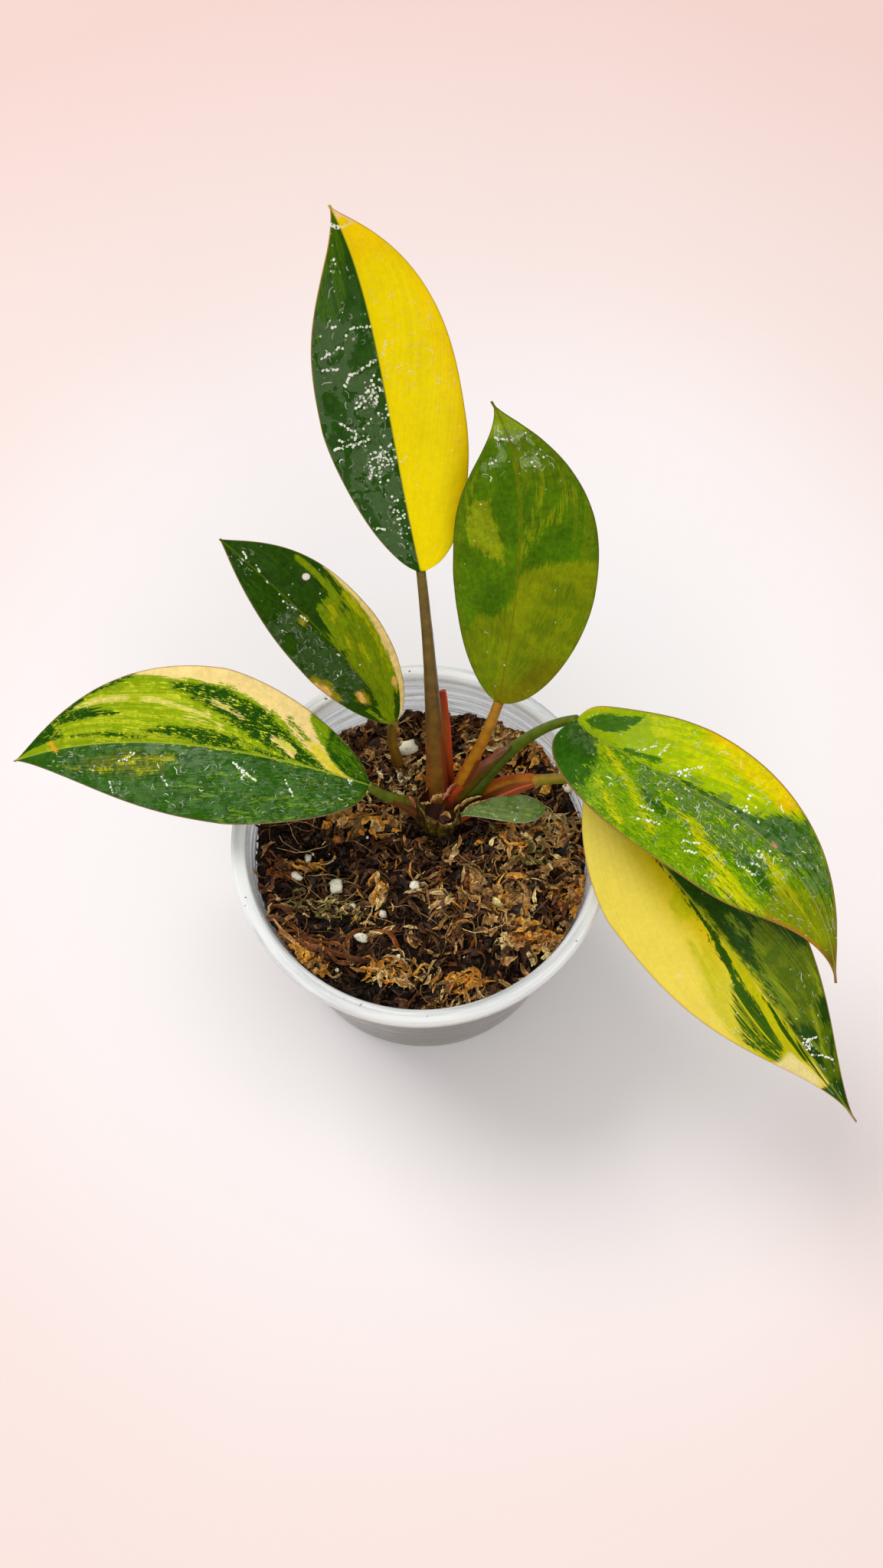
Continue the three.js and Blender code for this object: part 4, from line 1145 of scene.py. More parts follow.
def wing_material():
    """Olive, with a red edge low down and a dark foot."""
    mat = Material("sheath_wing")
    along, side = mat.field("along"), mat.field("side")
    strand = mat.strands(along, side, 4.0)
    shifted = mat.plus(side, mat.swing(strand, 0.16))
    colour = mat.ramp(shifted, [
        (0, rgb(130, 56, 26)), (0.1, rgb(112, 58, 14)), (0.3, rgb(92, 66, 6)),
        (0.6, rgb(72, 68, 4)), (1, rgb(60, 68, 2))])
    foot = mat.plus(along, mat.swing(strand, 0.25))
    low, at_edge = mat.band(foot, 0.5, 0.75, 1.0, 0.0), mat.band(shifted, 0.12, 0.26, 1.0, 0.0)
    colour = mat.blend(mat.times(low, at_edge), colour, rgb(172, 62, 30))
    colour = mat.blend(mat.band(foot, 0.16, 0.4, 0.9, 0.0), colour, rgb(78, 24, 10))
    colour = mat.shade(colour, mat.band(mat.noise(mat.place(), 0.4, 4), 0.3, 0.7, 0.8, 1.18))
    return mat.surface(colour=colour, roughness=0.36, normal=mat.bump(strand, 0.2, 0.3),
                       coat=0.08, coat_roughness=0.15, specular=0.2)


def make_sheath_wing():
    rows, columns, thick = 56, 16, 0.22
    t, u = strip_grid(rows, columns)
    edge, along = bezier(WING_EDGE, t)
    seam, _ = bezier(WING_SEAM, t)
    across = seam - edge
    ragged = 0.12 * (layered(t * 9, 0.5, 0.5, 71, 3) - 0.5)
    normal = unit(np.cross(along, across))
    swell = 0.9 * np.sin(np.pi * u) - 1.2 * u * u
    points = edge + across * (u + ragged * (1 - u))[:, None] - normal * swell[:, None]
    fields = {"along": np.concatenate([t, t]), "side": np.concatenate([u, u])}
    piece("stalk_right_wing", two_faces(points, normal, thick), sheet_faces(rows, columns),
          wing_material(), fields=fields)


# The red sheath: a slim folded strap with a blunt, slanted end.
def sheath_material():
    mat = Material("red_sheath")
    along, edge = mat.field("along"), mat.field("edge")
    grain = mat.strands(along, edge, 4.0, 6.0)
    colour = mat.ramp(mat.plus(along, mat.swing(grain, 0.2)), [
        (0, rgb(176, 76, 14)), (0.35, rgb(184, 88, 28)), (0.75, rgb(172, 84, 34)),
        (1, rgb(146, 62, 30))])
    colour = mat.blend(mat.band(edge, -0.35, -0.85, 0.0, 0.8), colour, rgb(206, 64, 40))
    colour = mat.shade(colour, mat.band(grain, 0.3, 0.7, 0.85, 1.15))
    return mat.surface(colour=colour, roughness=0.38, normal=mat.bump(grain, 0.2, 0.3),
                       coat=0.08, coat_roughness=0.2, specular=0.2)


def make_red_sheath():
    path = [(7.2, 15.5, 64), (7.3, 22, 76), (6.5, 28.3, 87), (5.3, 32.4, 98.4)]
    rings, sides = 70, 24
    t, angle = tube_grid(rings, sides)
    at, along = bezier(path, t)
    normal = square_to(along, (-0.3, -1, 0))
    across = np.cross(along, normal)
    narrow = lerp(1.1, 0.85, t) * (1 - 0.1 * smooth((t - 0.97) / 0.03))
    reach = 1.4 * narrow * (1 + 0.12 * (layered(t * 12, angle, 0.5, 31) - 0.5))
    depth = 0.6 * narrow
    hollow = 0.7 * depth * np.exp(-((np.cos(angle) / 0.55) ** 2)) * (np.sin(angle) > 0)
    slant = 0.5 * np.cos(angle) * smooth((t - 0.85) / 0.15)
    points = at - across * (reach * np.cos(angle))[:, None] - along * slant[:, None]
    points = points + normal * (depth * np.sin(angle) - hollow)[:, None]
    fields = {"along": np.append(t, [0, 1]), "edge": np.append(np.cos(angle), [0, 0])}
    piece("sheath", with_ends(points, sides), ring_faces(rings, sides), sheath_material(),
          ["sheath_red"], fields)


def mix_height(x, y):
    across = (x * x + y * y) / RIM_RADIUS**2
    lumps = np.sin(0.31 * x + 1.2) * np.cos(0.27 * y - 0.4)
    lumps = lumps + 0.7 * np.sin(0.66 * x - 0.52 * y + 2) + 0.5 * np.sin(0.93 * y + 0.35 * x)
    level = POT_HEIGHT - MIX_DROP - MIX_SLOPE * y + MIX_MOUND * (1 - across)
    return level + MIX_ROUGHNESS * lumps


def soil_height(x, y):
    """The crumbled top of the mix: hills, crumbs, a bank by the left wall and a dip at the stem."""
    hills = layered(x * 0.13 + 40, y * 0.13, 0.5, 3, 3) - 0.5
    crumbs = layered(x * 0.5, y * 0.5, 0.5, 8, 2) - 0.5
    leftward = (-0.95 * x - 0.3 * y) / RIM_RADIUS
    bank = 7.5 * smooth((leftward - 0.5) / 0.35)
    dip = 5.5 * np.exp(-((x - 5) ** 2 + (y - 2) ** 2) / 26)
    near_wall = smooth((np.hypot(x, y) / RIM_RADIUS - 0.72) / 0.16)
    turn = np.arctan2(y, x)
    sag = 1.8 * near_wall * np.exp(-(((turn - np.radians(-52)) / 0.3) ** 2))
    heap = 5 * near_wall * np.exp(-(((turn - np.radians(44)) / 0.5) ** 2))
    heap = heap + 2.4 * near_wall * np.exp(-((turn / 0.4) ** 2))
    return mix_height(x, y) + 5.5 * hills + 1.6 * crumbs - 0.8 + bank + heap - dip - sag


# The stem: a squat knob, torn open round the hollow that the petioles rise from.
def make_stem():
    rings, sides = 64, 80
    outline = [(0.4, STEM_FOOT), (3.4, STEM_FOOT), (4.6, 54), (5.6, 58), (6.2, 61), (5.8, 64),
               (6.4, 67), (6.1, 69.5), (5.8, 72.2), (5.55, 72.2), (5.3, 69), (4.2, 66.6),
               (0.4, 66)]
    steps = np.linspace(0, len(outline) - 1, rings)
    profile_r = np.interp(steps, range(len(outline)), [r for r, _ in outline])
    profile_z = np.interp(steps, range(len(outline)), [z for _, z in outline])
    _, angle = tube_grid(rings, sides)
    r, z = np.repeat(profile_r, sides), np.repeat(profile_z, sides)
    x, y = np.cos(angle), np.sin(angle)
    lump = layered(x * 2.2, y * 2.2, z * 0.3, 7, 4) - 0.5
    crease = np.abs(lattice(x * 5, y * 5, z * 0.08, 19) - 0.5) * 2
    r = r * (1 + 0.24 * lump) + 0.5 * (crease - 0.5) * (r > 2)
    torn = layered(x * 2.6, y * 2.6, 0.5, 17, 3) - 0.5
    torn = torn + 0.6 * (layered(x * 9, y * 9, 0.5, 27, 2) - 0.5)
    open_side = np.exp(-((angle - np.radians(306)) / 0.45) ** 2)
    shield = np.exp(-((angle - np.radians(222)) / 0.85) ** 4)
    rim = smooth((z - 67) / 4)
    z = z + rim * (2.8 * torn + 4.2 * shield - 2.6 * open_side) + 1.0 * lump * (z > 58)
    points = np.stack([STEM_CENTRE[0] + r * x, STEM_CENTRE[1] + r * y, z], 1)
    hollow = np.repeat(smooth(steps - 8.6), sides)
    piece("stem_stub", with_ends(points, sides), ring_faces(rings, sides), stem_material(),
          ["stem"], {"rim": np.append(rim, [0, 0]), "hollow": np.append(hollow, [0, 1])})


def stem_material():
    mat = Material("stem")
    place = mat.place()
    upright = mat.add("Mapping", {"Vector": place, "Scale": (1.0, 1.0, 0.3)})
    fibre = mat.noise(upright, 0.6, 5, 0.7)
    colour = mat.ramp(fibre, [(0.36, rgb(18, 12, 4)), (0.46, rgb(58, 48, 8)),
                              (0.56, rgb(96, 80, 18)), (0.68, rgb(170, 134, 56))])
    colour = mat.blend(mat.band(mat.noise(place, 0.45, 3), 0.5, 0.58, 0, 0.75), colour,
                       rgb(48, 28, 10))
    paper = mat.band(mat.plus(mat.field("rim"), mat.times(fibre, 0.9)), 1.35, 1.6, 0.0, 0.8)
    colour = mat.blend(paper, colour, rgb(166, 130, 70))
    colour = mat.blend(mat.field("hollow"), colour, rgb(66, 26, 8))
    return mat.surface(colour=colour, roughness=0.5, normal=mat.bump(fibre, 0.9, 0.8),
                       coat=0.1, coat_roughness=0.2, specular=0.2)


# Thin torn ribbons round the stem: papery skin, and the pink scales of two buds.
PAPER = [rgb(140, 96, 40), rgb(206, 160, 88), rgb(244, 216, 156)]
PINK = [rgb(176, 84, 66), rgb(214, 132, 112), rgb(232, 176, 158)]
RIBBONS = [
    dict(path=[(8.8, 9.5, 70.5), (10.1, 10.7, 71.5), (12.5, 12, 73), (16.1, 12.4, 74.5)],
         side=(-0.4, 0.85, 0.35), width=0.9, ragged=0.5, curl=0.7, tones=PAPER),
    dict(path=[(11.3, 9.8, 70.5), (12.8, 10.6, 71.5), (14.9, 11, 73), (17.3, 11.5, 74)],
         side=(-0.4, 0.85, 0.35), width=0.7, ragged=0.4, curl=0.7, tones=PAPER),
    dict(path=[(2.4, 11.3, 73), (3.9, 11.5, 75), (5.8, 11.6, 76), (7.3, 11.9, 77)],
         side=(-0.3, 0.86, 0.4), width=1.6, ragged=0.6, curl=1.2, tones=PAPER),
    dict(path=[(5.8, 11.3, 75), (7.3, 12.4, 78), (8.1, 12.9, 80), (9, 13.4, 82)],
         side=(-0.8, 0.5, 0.3), width=0.9, ragged=0.3, curl=0.8, tones=PINK),
    dict(path=[(3.9, 6.6, 68), (7, 5.2, 68), (10.1, 5.8, 69), (9.1, 9.3, 70.5)],
         side=(-0.1, 0.92, 0.38), width=1.1, ragged=0.5, curl=-1.2, tones=PAPER),
    dict(path=[(5, 8.7, 69), (5.8, 9, 70), (6.7, 8.8, 70), (7.5, 7.9, 69.5)],
         side=(-0.1, 0.92, 0.38), width=1.6, ragged=0.5, curl=-1.4, tones=PAPER),
    dict(path=[(-0.7, 10.5, 73), (0.3, 10.6, 73.5), (1.2, 10.4, 74), (2.3, 10.4, 74)],
         side=(0.1, 0.9, 0.4), width=0.7, ragged=0.5, curl=0.7, tones=PAPER),
    dict(path=[(-1.9, 10.0, 72.4), (-2.4, 10.4, 73.4), (-3.0, 11.0, 74.4), (-3.7, 11.8, 75.4)],
         side=(0.75, 0.55, 0.25), width=1.8, ragged=0.1, curl=1.8, tones=PINK),
]


def ribbon(shape, seed):
    """A thin strip along a curve, ragged on one edge and curled across."""
    rows, columns, thick = 60, 14, 0.09
    t, u = strip_grid(rows, columns)
    at, along = bezier(shape["path"], t)
    side = square_to(along, shape["side"])
    normal = np.cross(along, side)
    taper = np.sin(np.pi * (0.04 + 0.92 * t)) ** 0.6
    torn = layered(t * 8, 0.5, 0.5, seed, 3) - 0.5
    wide = shape["width"] * taper + shape["ragged"] * 2.2 * torn
    at = at + side * (shape["ragged"] * (layered(t * 5, 3.5, 0.5, seed, 2) - 0.5))[:, None]
    turn = shape["curl"] * u
    crumple = 0.6 * (layered(t * 6, u * 3, 0.5, seed + 3, 3) - 0.5)
    points = at + side * (wide * np.sin(turn) / shape["curl"])[:, None]
    points = points + normal * (wide * (1 - np.cos(turn)) / shape["curl"] + crumple)[:, None]
    return two_faces(points, normal, thick), sheet_faces(rows, columns), u


def skin_material():
    mat = Material("papery_skin")
    grain = mat.noise(mat.place(), 1.3, 4, 0.6)
    colour = mat.shade(mat.painted("tint"), mat.band(grain, 0.3, 0.7, 0.65, 1.35))
    return mat.surface(colour=colour, roughness=0.5, normal=mat.bump(grain, 0.25, 0.4),
                       specular=0.2)


def make_ribbons():
    points, faces, tints = [], [], []
    offset = 0
    for seed, shape in enumerate(RIBBONS):
        got, quads, u = ribbon(shape, 210 + seed)
        low, middle, high = (np.array(c[:3]) for c in shape["tones"])
        grain = layered(got[:len(u), 0] * 1.6, got[:len(u), 2] * 1.6, 0.5, 8, 3)[:, None]
        # Each ribbon pales from its darker attached edge to its free, curled edge, a painted
        # highlight broken up by the grain.
        lift = np.clip(u[:, None] + 1.8 * grain - 1.1, 0, 1)
        tone = np.where(lift < 0.5, lerp(low, middle, lift * 2), lerp(middle, high, lift * 2 - 1))
        points.append(got)
        faces += shifted(quads, offset)
        tints.append(np.concatenate([tone, tone]))
        offset += len(got)
    piece("stem_skin", np.concatenate(points), faces, skin_material(),
          fields={"tint": np.concatenate(tints)})


# Loose flakes: short strips folded along the middle, kinked and ragged, with painted highlights on
# their edges and tips and painted shade on their undersides.
FLAKE_STEPS = 6


def flakes(group, rng):
    """Vertices, faces and colours of closed flakes on the mix, and the vertices of each."""
    count = len(group["at"])
    t = np.linspace(-0.5, 0.5, FLAKE_STEPS + 1)[None, :]
    size = (count, FLAKE_STEPS + 1)
    kink = np.cumsum(rng.normal(0, group["kink"], size), 1)
    turn = group["heading"][:, None] + group["bend"][:, None] * t + kink
    step = (group["length"] / FLAKE_STEPS)[:, None]
    dx, dy = np.cos(turn) * step, np.sin(turn) * step
    x = np.cumsum(dx, 1) - dx.sum(1, keepdims=True) / 2 + group["at"][:, :1]
    y = np.cumsum(dy, 1) - dy.sum(1, keepdims=True) / 2 + group["at"][:, 1:2]
    arch = group["rise"][:, None] * (1 - 4 * t * t) + group["tilt"][:, None] * t
    z = soil_height(x, y) + arch + group["at"][:, 2:3] + rng.normal(0, 0.14, size)
    profile = (1 - np.abs(2 * t) ** 2.4) + 0.1
    wide = group["width"][:, None] * profile / 2
    left, right = wide * rng.uniform(0.5, 1.5, size), wide * rng.uniform(0.5, 1.5, size)
    cup = group["cup"][:, None] * wide
    thick = 0.07 + 0.06 * wide
    lean = group["roll"][:, None] + 0.8 * np.sin(3 * t + 5 * group["roll"][:, None])
    side = np.stack([-np.sin(turn) * np.cos(lean), np.cos(turn) * np.cos(lean), np.sin(lean)], -1)
    up = np.stack([np.sin(turn) * np.sin(lean), -np.cos(turn) * np.sin(lean), np.cos(lean)], -1)
    middle = np.stack([x, y, z], -1)
    corners = [middle + side * left[..., None], middle + up * (cup + thick)[..., None],
               middle - side * right[..., None], middle + up * (cup - thick)[..., None]]
    points = np.stack(corners, 2).reshape(-1, 3)
    ring = np.arange(4)
    near = np.arange(FLAKE_STEPS)[:, None] * 4
    quads = np.stack([near + ring, near + (ring + 1) % 4, near + 4 + (ring + 1) % 4,
                      near + 4 + ring], -1).reshape(-1, 4)
    caps = np.array([[3, 2, 1, 0], [4 * FLAKE_STEPS + k for k in range(4)]])
    pattern = np.concatenate([quads, caps])
    each = 4 * (FLAKE_STEPS + 1)
    faces = (pattern[None] + (np.arange(count) * each)[:, None, None]).reshape(-1, 4)
    # Painted highlights on the side edges, and painted shade on the lower corner.
    painted_edge_light_and_under_shade = np.array([1.7, 0.8, 1.7, 0.35])
    # A random tone for each ring, raised towards the tips as a painted highlight.
    shade = rng.uniform(0.6, 1.4, size) * (0.85 + 0.6 * np.abs(2 * t) ** 3)
    shade = (shade[..., None] * painted_edge_light_and_under_shade).reshape(-1, 1)
    tints = np.clip(np.repeat(group["tint"], each, axis=0) * shade, 0, 1)
    return points, faces, tints, each


FLAKE_COLOURS = {
    "black": rgb(15, 9, 5),
    "dark": rgb(42, 25, 14),
    "brown": rgb(78, 48, 24),
    "rust": rgb(110, 60, 24),
    "tan": rgb(152, 112, 62),
    "straw": rgb(206, 170, 112),
    "gold": rgb(190, 130, 48),
    "orange": rgb(198, 116, 36),
    "olive": rgb(118, 106, 52),
    "cream": rgb(228, 204, 156),
}


def flake_tints(mix, count, rng):
    """A colour for each flake, drawn from shares of named colours and varied a little."""
    table = np.array([FLAKE_COLOURS[n][:3] for n in mix])
    shares = np.array(list(mix.values()), float)
    pick = rng.choice(len(table), count, p=shares / shares.sum())
    return np.clip(table[pick] * rng.uniform(0.6, 1.4, (count, 1)), 0, 1)


def flake_material(name):
    mat = Material(name)
    place = mat.place()
    grain = mat.noise(place, 1.8, 4, 0.65)
    colour = mat.shade(mat.painted("tint"), mat.band(grain, 0.3, 0.7, 0.5, 1.5))
    damp = mat.band(mat.noise(place, 0.15, 2), 0.4, 0.6, 0.35, 0.7)
    return mat.surface(colour=colour, roughness=damp, normal=mat.bump(grain, 0.3, 0.5),
                       specular=0.25)


def disc_points(count, radius, rng):
    r = radius * np.sqrt(rng.uniform(0, 1, count))
    a = rng.uniform(0, 2 * np.pi, count)
    return np.stack([r * np.cos(a), r * np.sin(a)], 1)


def wall_radius(z):
    return BASE_RADIUS + FLARE * z


def mix_edge(z):
    return wall_radius(z) - WALL - GAP


def keep_inside(points, room):
    """Points moved inward where they would pass through the pot's wall."""
    r = np.hypot(points[:, 0], points[:, 1])
    most = mix_edge(points[:, 2]) - room
    pull = np.where(r > most, most / np.maximum(r, 1), 1)
    return points * np.stack([pull, pull, np.ones_like(pull)], 1)


def mix_material():
    mat = Material("mix_body")
    crumb = mat.noise(mat.place(), 0.9, 5, 0.65)
    colour = mat.ramp(crumb, [(0.35, rgb(12, 7, 4)), (0.55, rgb(34, 20, 10)),
                              (0.68, rgb(70, 42, 20)), (0.8, rgb(116, 80, 40))])
    return mat.surface(colour=colour, roughness=0.7, normal=mat.bump(crumb, 1.2, 0.9),
                       specular=0.2)


def make_mix_body():
    """The dark body of the mix, with a crumbly surface a little below the loose flakes."""
    steps, top_rings, wall_rings = 220, 90, 60
    sunk = 0.5
    turn = circle(steps)
    rows = []
    edge = mix_edge(POT_HEIGHT - MIX_DROP) - 0.4
    for i in range(1, top_rings + 1):
        r = edge * i / top_rings
        x, y = r * np.cos(turn), r * np.sin(turn)
        rows.append(np.stack([x, y, soil_height(x, y) - sunk], 1))
    rim = rows[-1][:, 2]
    low = FLOOR + GAP + BASE_CORNER
    for i in range(1, wall_rings + 1):
        z = lerp(rim, low, i / wall_rings)
        dent = layered(np.cos(turn) * 18, np.sin(turn) * 18, z * 0.45, 13, 3)
        r = mix_edge(z) - 0.15 - 1.3 * smooth((dent - 0.4) * 3)
        rows.append(around(r, turn, z))
    foot = FLOOR + GAP
    rows.append(around(BASE_RADIUS - 4, turn, foot))
    middle = float(soil_height(0.0, 0.0)) - sunk
    points = np.concatenate(rows[::-1] + [[(0, 0, foot)], [(0, 0, middle)]])
    piece("mix_body", points, ring_faces(len(rows), steps), mix_material(),
          ["potting_mix"])


def tufted(xy, rng):
    """Directions that neighbouring flakes roughly share."""
    lie = layered(xy[:, 0] * 0.11, xy[:, 1] * 0.11, 0.5, 83, 2)
    return 4 * np.pi * lie + rng.normal(0, 0.55, len(xy))


def flake_group(xy, mix, rng, length=(3, 8), width=(0.8, 2), lift=(-0.3, 0.9), heading=None,
                kink=0.25, stand=1.6, bend=1.3):
    count = len(xy)
    return dict(
        at=np.concatenate([xy, rng.uniform(*lift, (count, 1))], 1),
        heading=tufted(xy, rng) if heading is None else heading,
        length=rng.uniform(*length, count),
        width=rng.uniform(*width, count),
        bend=rng.normal(0, bend, count),
        kink=kink,
        rise=rng.uniform(-0.3, 1.2, count),
        tilt=rng.normal(0, stand, count),
        roll=rng.uniform(-1.1, 1.1, count),
        cup=rng.uniform(-0.5, 0.9, count),
        tint=flake_tints(mix, count, rng),
    )


def clear_of_stem(xy, room):
    away = np.hypot(xy[:, 0] - STEM_CENTRE[0], xy[:, 1] - STEM_CENTRE[1])
    return xy[away > STEM_RADIUS + room]


def add_flakes(name, groups, rng):
    """One piece of several groups of flakes, each with its own colours and sizes."""
    points, faces, tints = [], [], []
    offset = 0
    for group in groups:
        got, quads, tint, _ = flakes(group, rng)
        points.append(keep_inside(got, 0.1))
        faces.append(quads + offset)
        tints.append(tint)
        offset += len(got)
    piece(name, np.concatenate(points), np.concatenate(faces).tolist(), flake_material(name),
          fields={"tint": np.concatenate(tints)}, flat=True)


# Clumps that stand out in the mix: place, size of the clump, direction, count, colours,
# and the lengths and widths of their flakes.
CLUMPS = [
    ((-9.7, -33.9), (5.5, 1.6), 0.05, 46, dict(gold=5, straw=3, orange=1), (2, 6), (0.5, 1.3)),
    ((-4, -35), (4, 1.2), -0.1, 20, dict(gold=3, straw=3), (3, 8), (0.5, 1.2)),
    ((4.3, -15.1), (0.5, 3.4), 1.5, 14, dict(straw=4, tan=2), (5, 9), (0.6, 1.3)),
    ((-11.8, -13), (0.5, 2.6), 1.45, 14, dict(straw=3, gold=2), (3, 6), (0.8, 1.6)),
    ((-27.5, -28), (10, 0.7), -0.25, 22, dict(brown=3, rust=3, tan=2), (9, 15), (0.8, 1.8)),
    ((7.4, -1.4), (1.4, 2.2), 1.1, 7, dict(tan=3, straw=1), (4, 8), (0.8, 1.8)),
    ((-25.2, -17), (5.5, 1.8), 0.1, 90, dict(olive=6, straw=2), (1.5, 4), (0.4, 1.0)),
    ((-21.5, 9.1), (3, 2.4), 0.9, 26, dict(tan=3, gold=4), (3, 7), (1.4, 2.8)),
    ((-13, 8.5), (3, 2), 0.7, 22, dict(tan=3, gold=3, straw=1), (3, 6), (1.2, 2.4)),
    ((-29.9, -32.9), (2.4, 3), 1.7, 30, dict(gold=4, tan=2, rust=1), (2, 6), (1, 2.2)),
    ((-37.5, -8.5), (1.8, 2.2), 1.0, 26, dict(rust=4, brown=2), (2, 4), (0.8, 1.8)),
    ((-31.7, -5.3), (2.8, 0.9), -0.4, 16, dict(gold=3, tan=2), (2, 5), (0.8, 1.6)),
    ((26.5, 3.7), (2.2, 2.4), -0.9, 30, dict(gold=3, tan=4), (4, 8), (0.8, 1.8)),
    ((31.2, -25.2), (4, 1.8), 0.2, 46, dict(gold=5, orange=1, tan=2), (2, 5), (1, 2)),
    ((41, -12.7), (3, 3), 0.9, 54, dict(gold=3, rust=2, tan=2), (3, 6), (1, 2.2)),
    ((23.2, -15.6), (2.8, 4), -0.9, 40, dict(tan=4, gold=3, straw=1), (3, 7), (1.4, 2.8)),
    ((11.8, -36.4), (3.2, 1), -0.15, 26, dict(gold=4, orange=2), (3, 6), (1, 2)),
    ((14.5, -11.4), (0.9, 3.4), -1.0, 20, dict(tan=4, straw=1), (4, 8), (0.8, 1.8)),
    ((33, 0), (5, 7), -0.8, 140, dict(tan=5, olive=3, straw=2), (2, 6), (0.6, 1.6)),
    ((26, -27), (6, 5), 0.6, 50, dict(straw=2, tan=4, brown=2), (3, 7), (1, 2.2)),
    ((24.5, 37.5), (3.6, 2.6), 0.6, 130, dict(gold=3, straw=5, cream=1), (3, 6), (0.7, 1.6)),
    ((10.5, 24.8), (1.6, 1.6), 0.9, 26, dict(gold=3, straw=3), (2, 5), (0.6, 1.3)),
    ((-6.8, 17), (2.4, 2), 0.3, 26, dict(straw=3, cream=1, tan=2), (2, 4), (0.6, 1.4)),
    ((34, 9), (5, 1.6), -0.7, 40, dict(straw=3, gold=2), (5, 11), (0.4, 0.9)),
    ((8, 20), (3.4, 3), 0.8, 36, dict(gold=4, straw=2), (2, 5), (0.8, 1.8)),
    ((28, 34), (8, 6), 0.4, 110, dict(tan=4, rust=3, gold=2), (3, 7), (1, 2.2)),
    ((2, 35), (8, 4), 0.3, 60, dict(tan=4, brown=3, straw=1), (3, 6), (0.8, 1.8)),
    ((20, 44), (9, 2.4), -0.3, 70, dict(rust=3, tan=3, brown=3), (3, 6), (1, 2)),
    ((-20, 33), (7, 6), 0.8, 60, dict(brown=4, tan=3), (3, 6), (0.8, 1.8)),
    ((-4, 24), (4, 3), 0.4, 40, dict(straw=3, cream=1, tan=2), (2, 5), (0.8, 1.6)),
]


# Long splinters: the middle, direction, length, width and colour.
SPLINTERS = [
    ((-12.4, -13.2), 1.4, 9, 2.0, "gold"),
    ((4.3, -15.8), 1.5, 11, 1.5, "gold"),
    ((14.7, -10.4), 2.1, 8, 2.2, "tan"),
    ((8.2, -1.2), 1.2, 8, 1.9, "straw"),
    ((-9.6, -23.2), 0.5, 5, 1.6, "straw"),
    ((-27.6, -28.1), -0.22, 23, 1.7, "rust"),
    ((-14, 14), 0.9, 13, 1.2, "brown"),
    ((22, 24), -0.5, 14, 1.2, "tan"),
]


def make_flakes():
    rng = np.random.default_rng(23)
    reach = mix_edge(62) - 0.5
    small = clear_of_stem(disc_points(2500, reach, rng), 0.3)
    broad = clear_of_stem(disc_points(500, reach, rng), 0.6)
    add_flakes("mix_dark_fibres", [
        flake_group(small, dict(black=4, dark=6, brown=4, rust=1), rng, (2, 6), (0.4, 1.1),
                    (-0.9, 0.5)),
        flake_group(broad, dict(black=1, dark=5, brown=5, rust=1), rng, (3, 9), (1.0, 2.2),
                    (-0.5, 0.8)),
    ], rng)

    light = clear_of_stem(disc_points(4200, reach, rng), 0.6)
    patchy = layered(light[:, 0] * 0.12, light[:, 1] * 0.12, 0.5, 47, 3)
    chance = smooth((patchy - 0.44) * 4) * (0.4 + 0.6 * smooth((light[:, 0] + 22) / 34))
    light = light[rng.uniform(0, 1, len(light)) < chance]
    hairs = clear_of_stem(disc_points(150, reach - 4, rng), 1)
    groups = [flake_group(light, dict(tan=5, brown=6, straw=1.5, gold=1.5, rust=1), rng, (2, 7),
                          (0.4, 1.2), (0, 1.3)),
              flake_group(hairs, dict(tan=2, brown=3, straw=1), rng, (8, 18), (0.16, 0.3),
                          (0.6, 1.8), None, 0.3, 0.8)]
    for (x, y), reach_mm, heading, count, mix, length, width in CLUMPS:
        xy = np.array([x, y]) + rng.normal(0, 1, (count, 2)) * reach_mm
        away = np.hypot(xy[:, 0], xy[:, 1])
        xy = xy * np.minimum(1, reach / away)[:, None]
        groups.append(flake_group(xy, mix, rng, length, width, (0.3, 1.8),
                                  heading + rng.normal(0, 0.45, count), 0.3, 1.4))
    for xy, heading, length, width, colour in SPLINTERS:
        groups.append(flake_group(np.array([xy]), {colour: 1}, rng, (length, length),
                                  (width, width), (1.4, 1.6), np.array([heading]), 0.03, 0.3,
                                  0.15))
    add_flakes("mix_pale_fibres", groups, rng)


def make_wall_fibres():
    """Flakes pressed against the inside of the clear wall."""
    rng = np.random.default_rng(37)
    count = 1300
    turn = rng.uniform(0, 2 * np.pi, count)
    group = flake_group(np.zeros((count, 2)),
                        dict(dark=5, brown=5, tan=3, straw=1, olive=1, rust=2, black=3), rng,
                        (4, 11), (0.8, 2.4), heading=rng.normal(0, 0.7, count))
    for key in ("rise", "tilt"):
        group[key] *= 0
    group["roll"] *= 0.3
    points, faces, tints, each = flakes(group, rng)
    across, up = points[:, 0], points[:, 1]
    out = points[:, 2] - float(soil_height(0.0, 0.0))
    wall = 44
    angle = np.repeat(turn, each) + across / wall
    top = soil_height(wall * np.cos(angle), wall * np.sin(angle))
    level = np.repeat(rng.uniform(0, 1, count), each)
    z = np.clip(lerp(4.0, top - 1.5, level) + up, 3.2, top + 0.5)
    r = mix_edge(z) - 0.75 + np.clip(out, -0.6, 0.6)
    piece("mix_wall_fibres", around(r, angle, z), faces.tolist(),
          flake_material("mix_wall_fibres"), fields={"tint": tints}, flat=True)


def lump_template(level):
    """Vertices and faces of a subdivided icosahedron of radius one."""
    mesh = bpy.data.meshes.new("template")
    work = bmesh.new()
    bmesh.ops.create_icosphere(work, subdivisions=level, radius=1)
    work.to_mesh(mesh)
    work.free()
    points = np.array([v.co[:] for v in mesh.vertices])
    faces = np.array([p.vertices[:] for p in mesh.polygons])
    bpy.data.meshes.remove(mesh)
    return points, faces


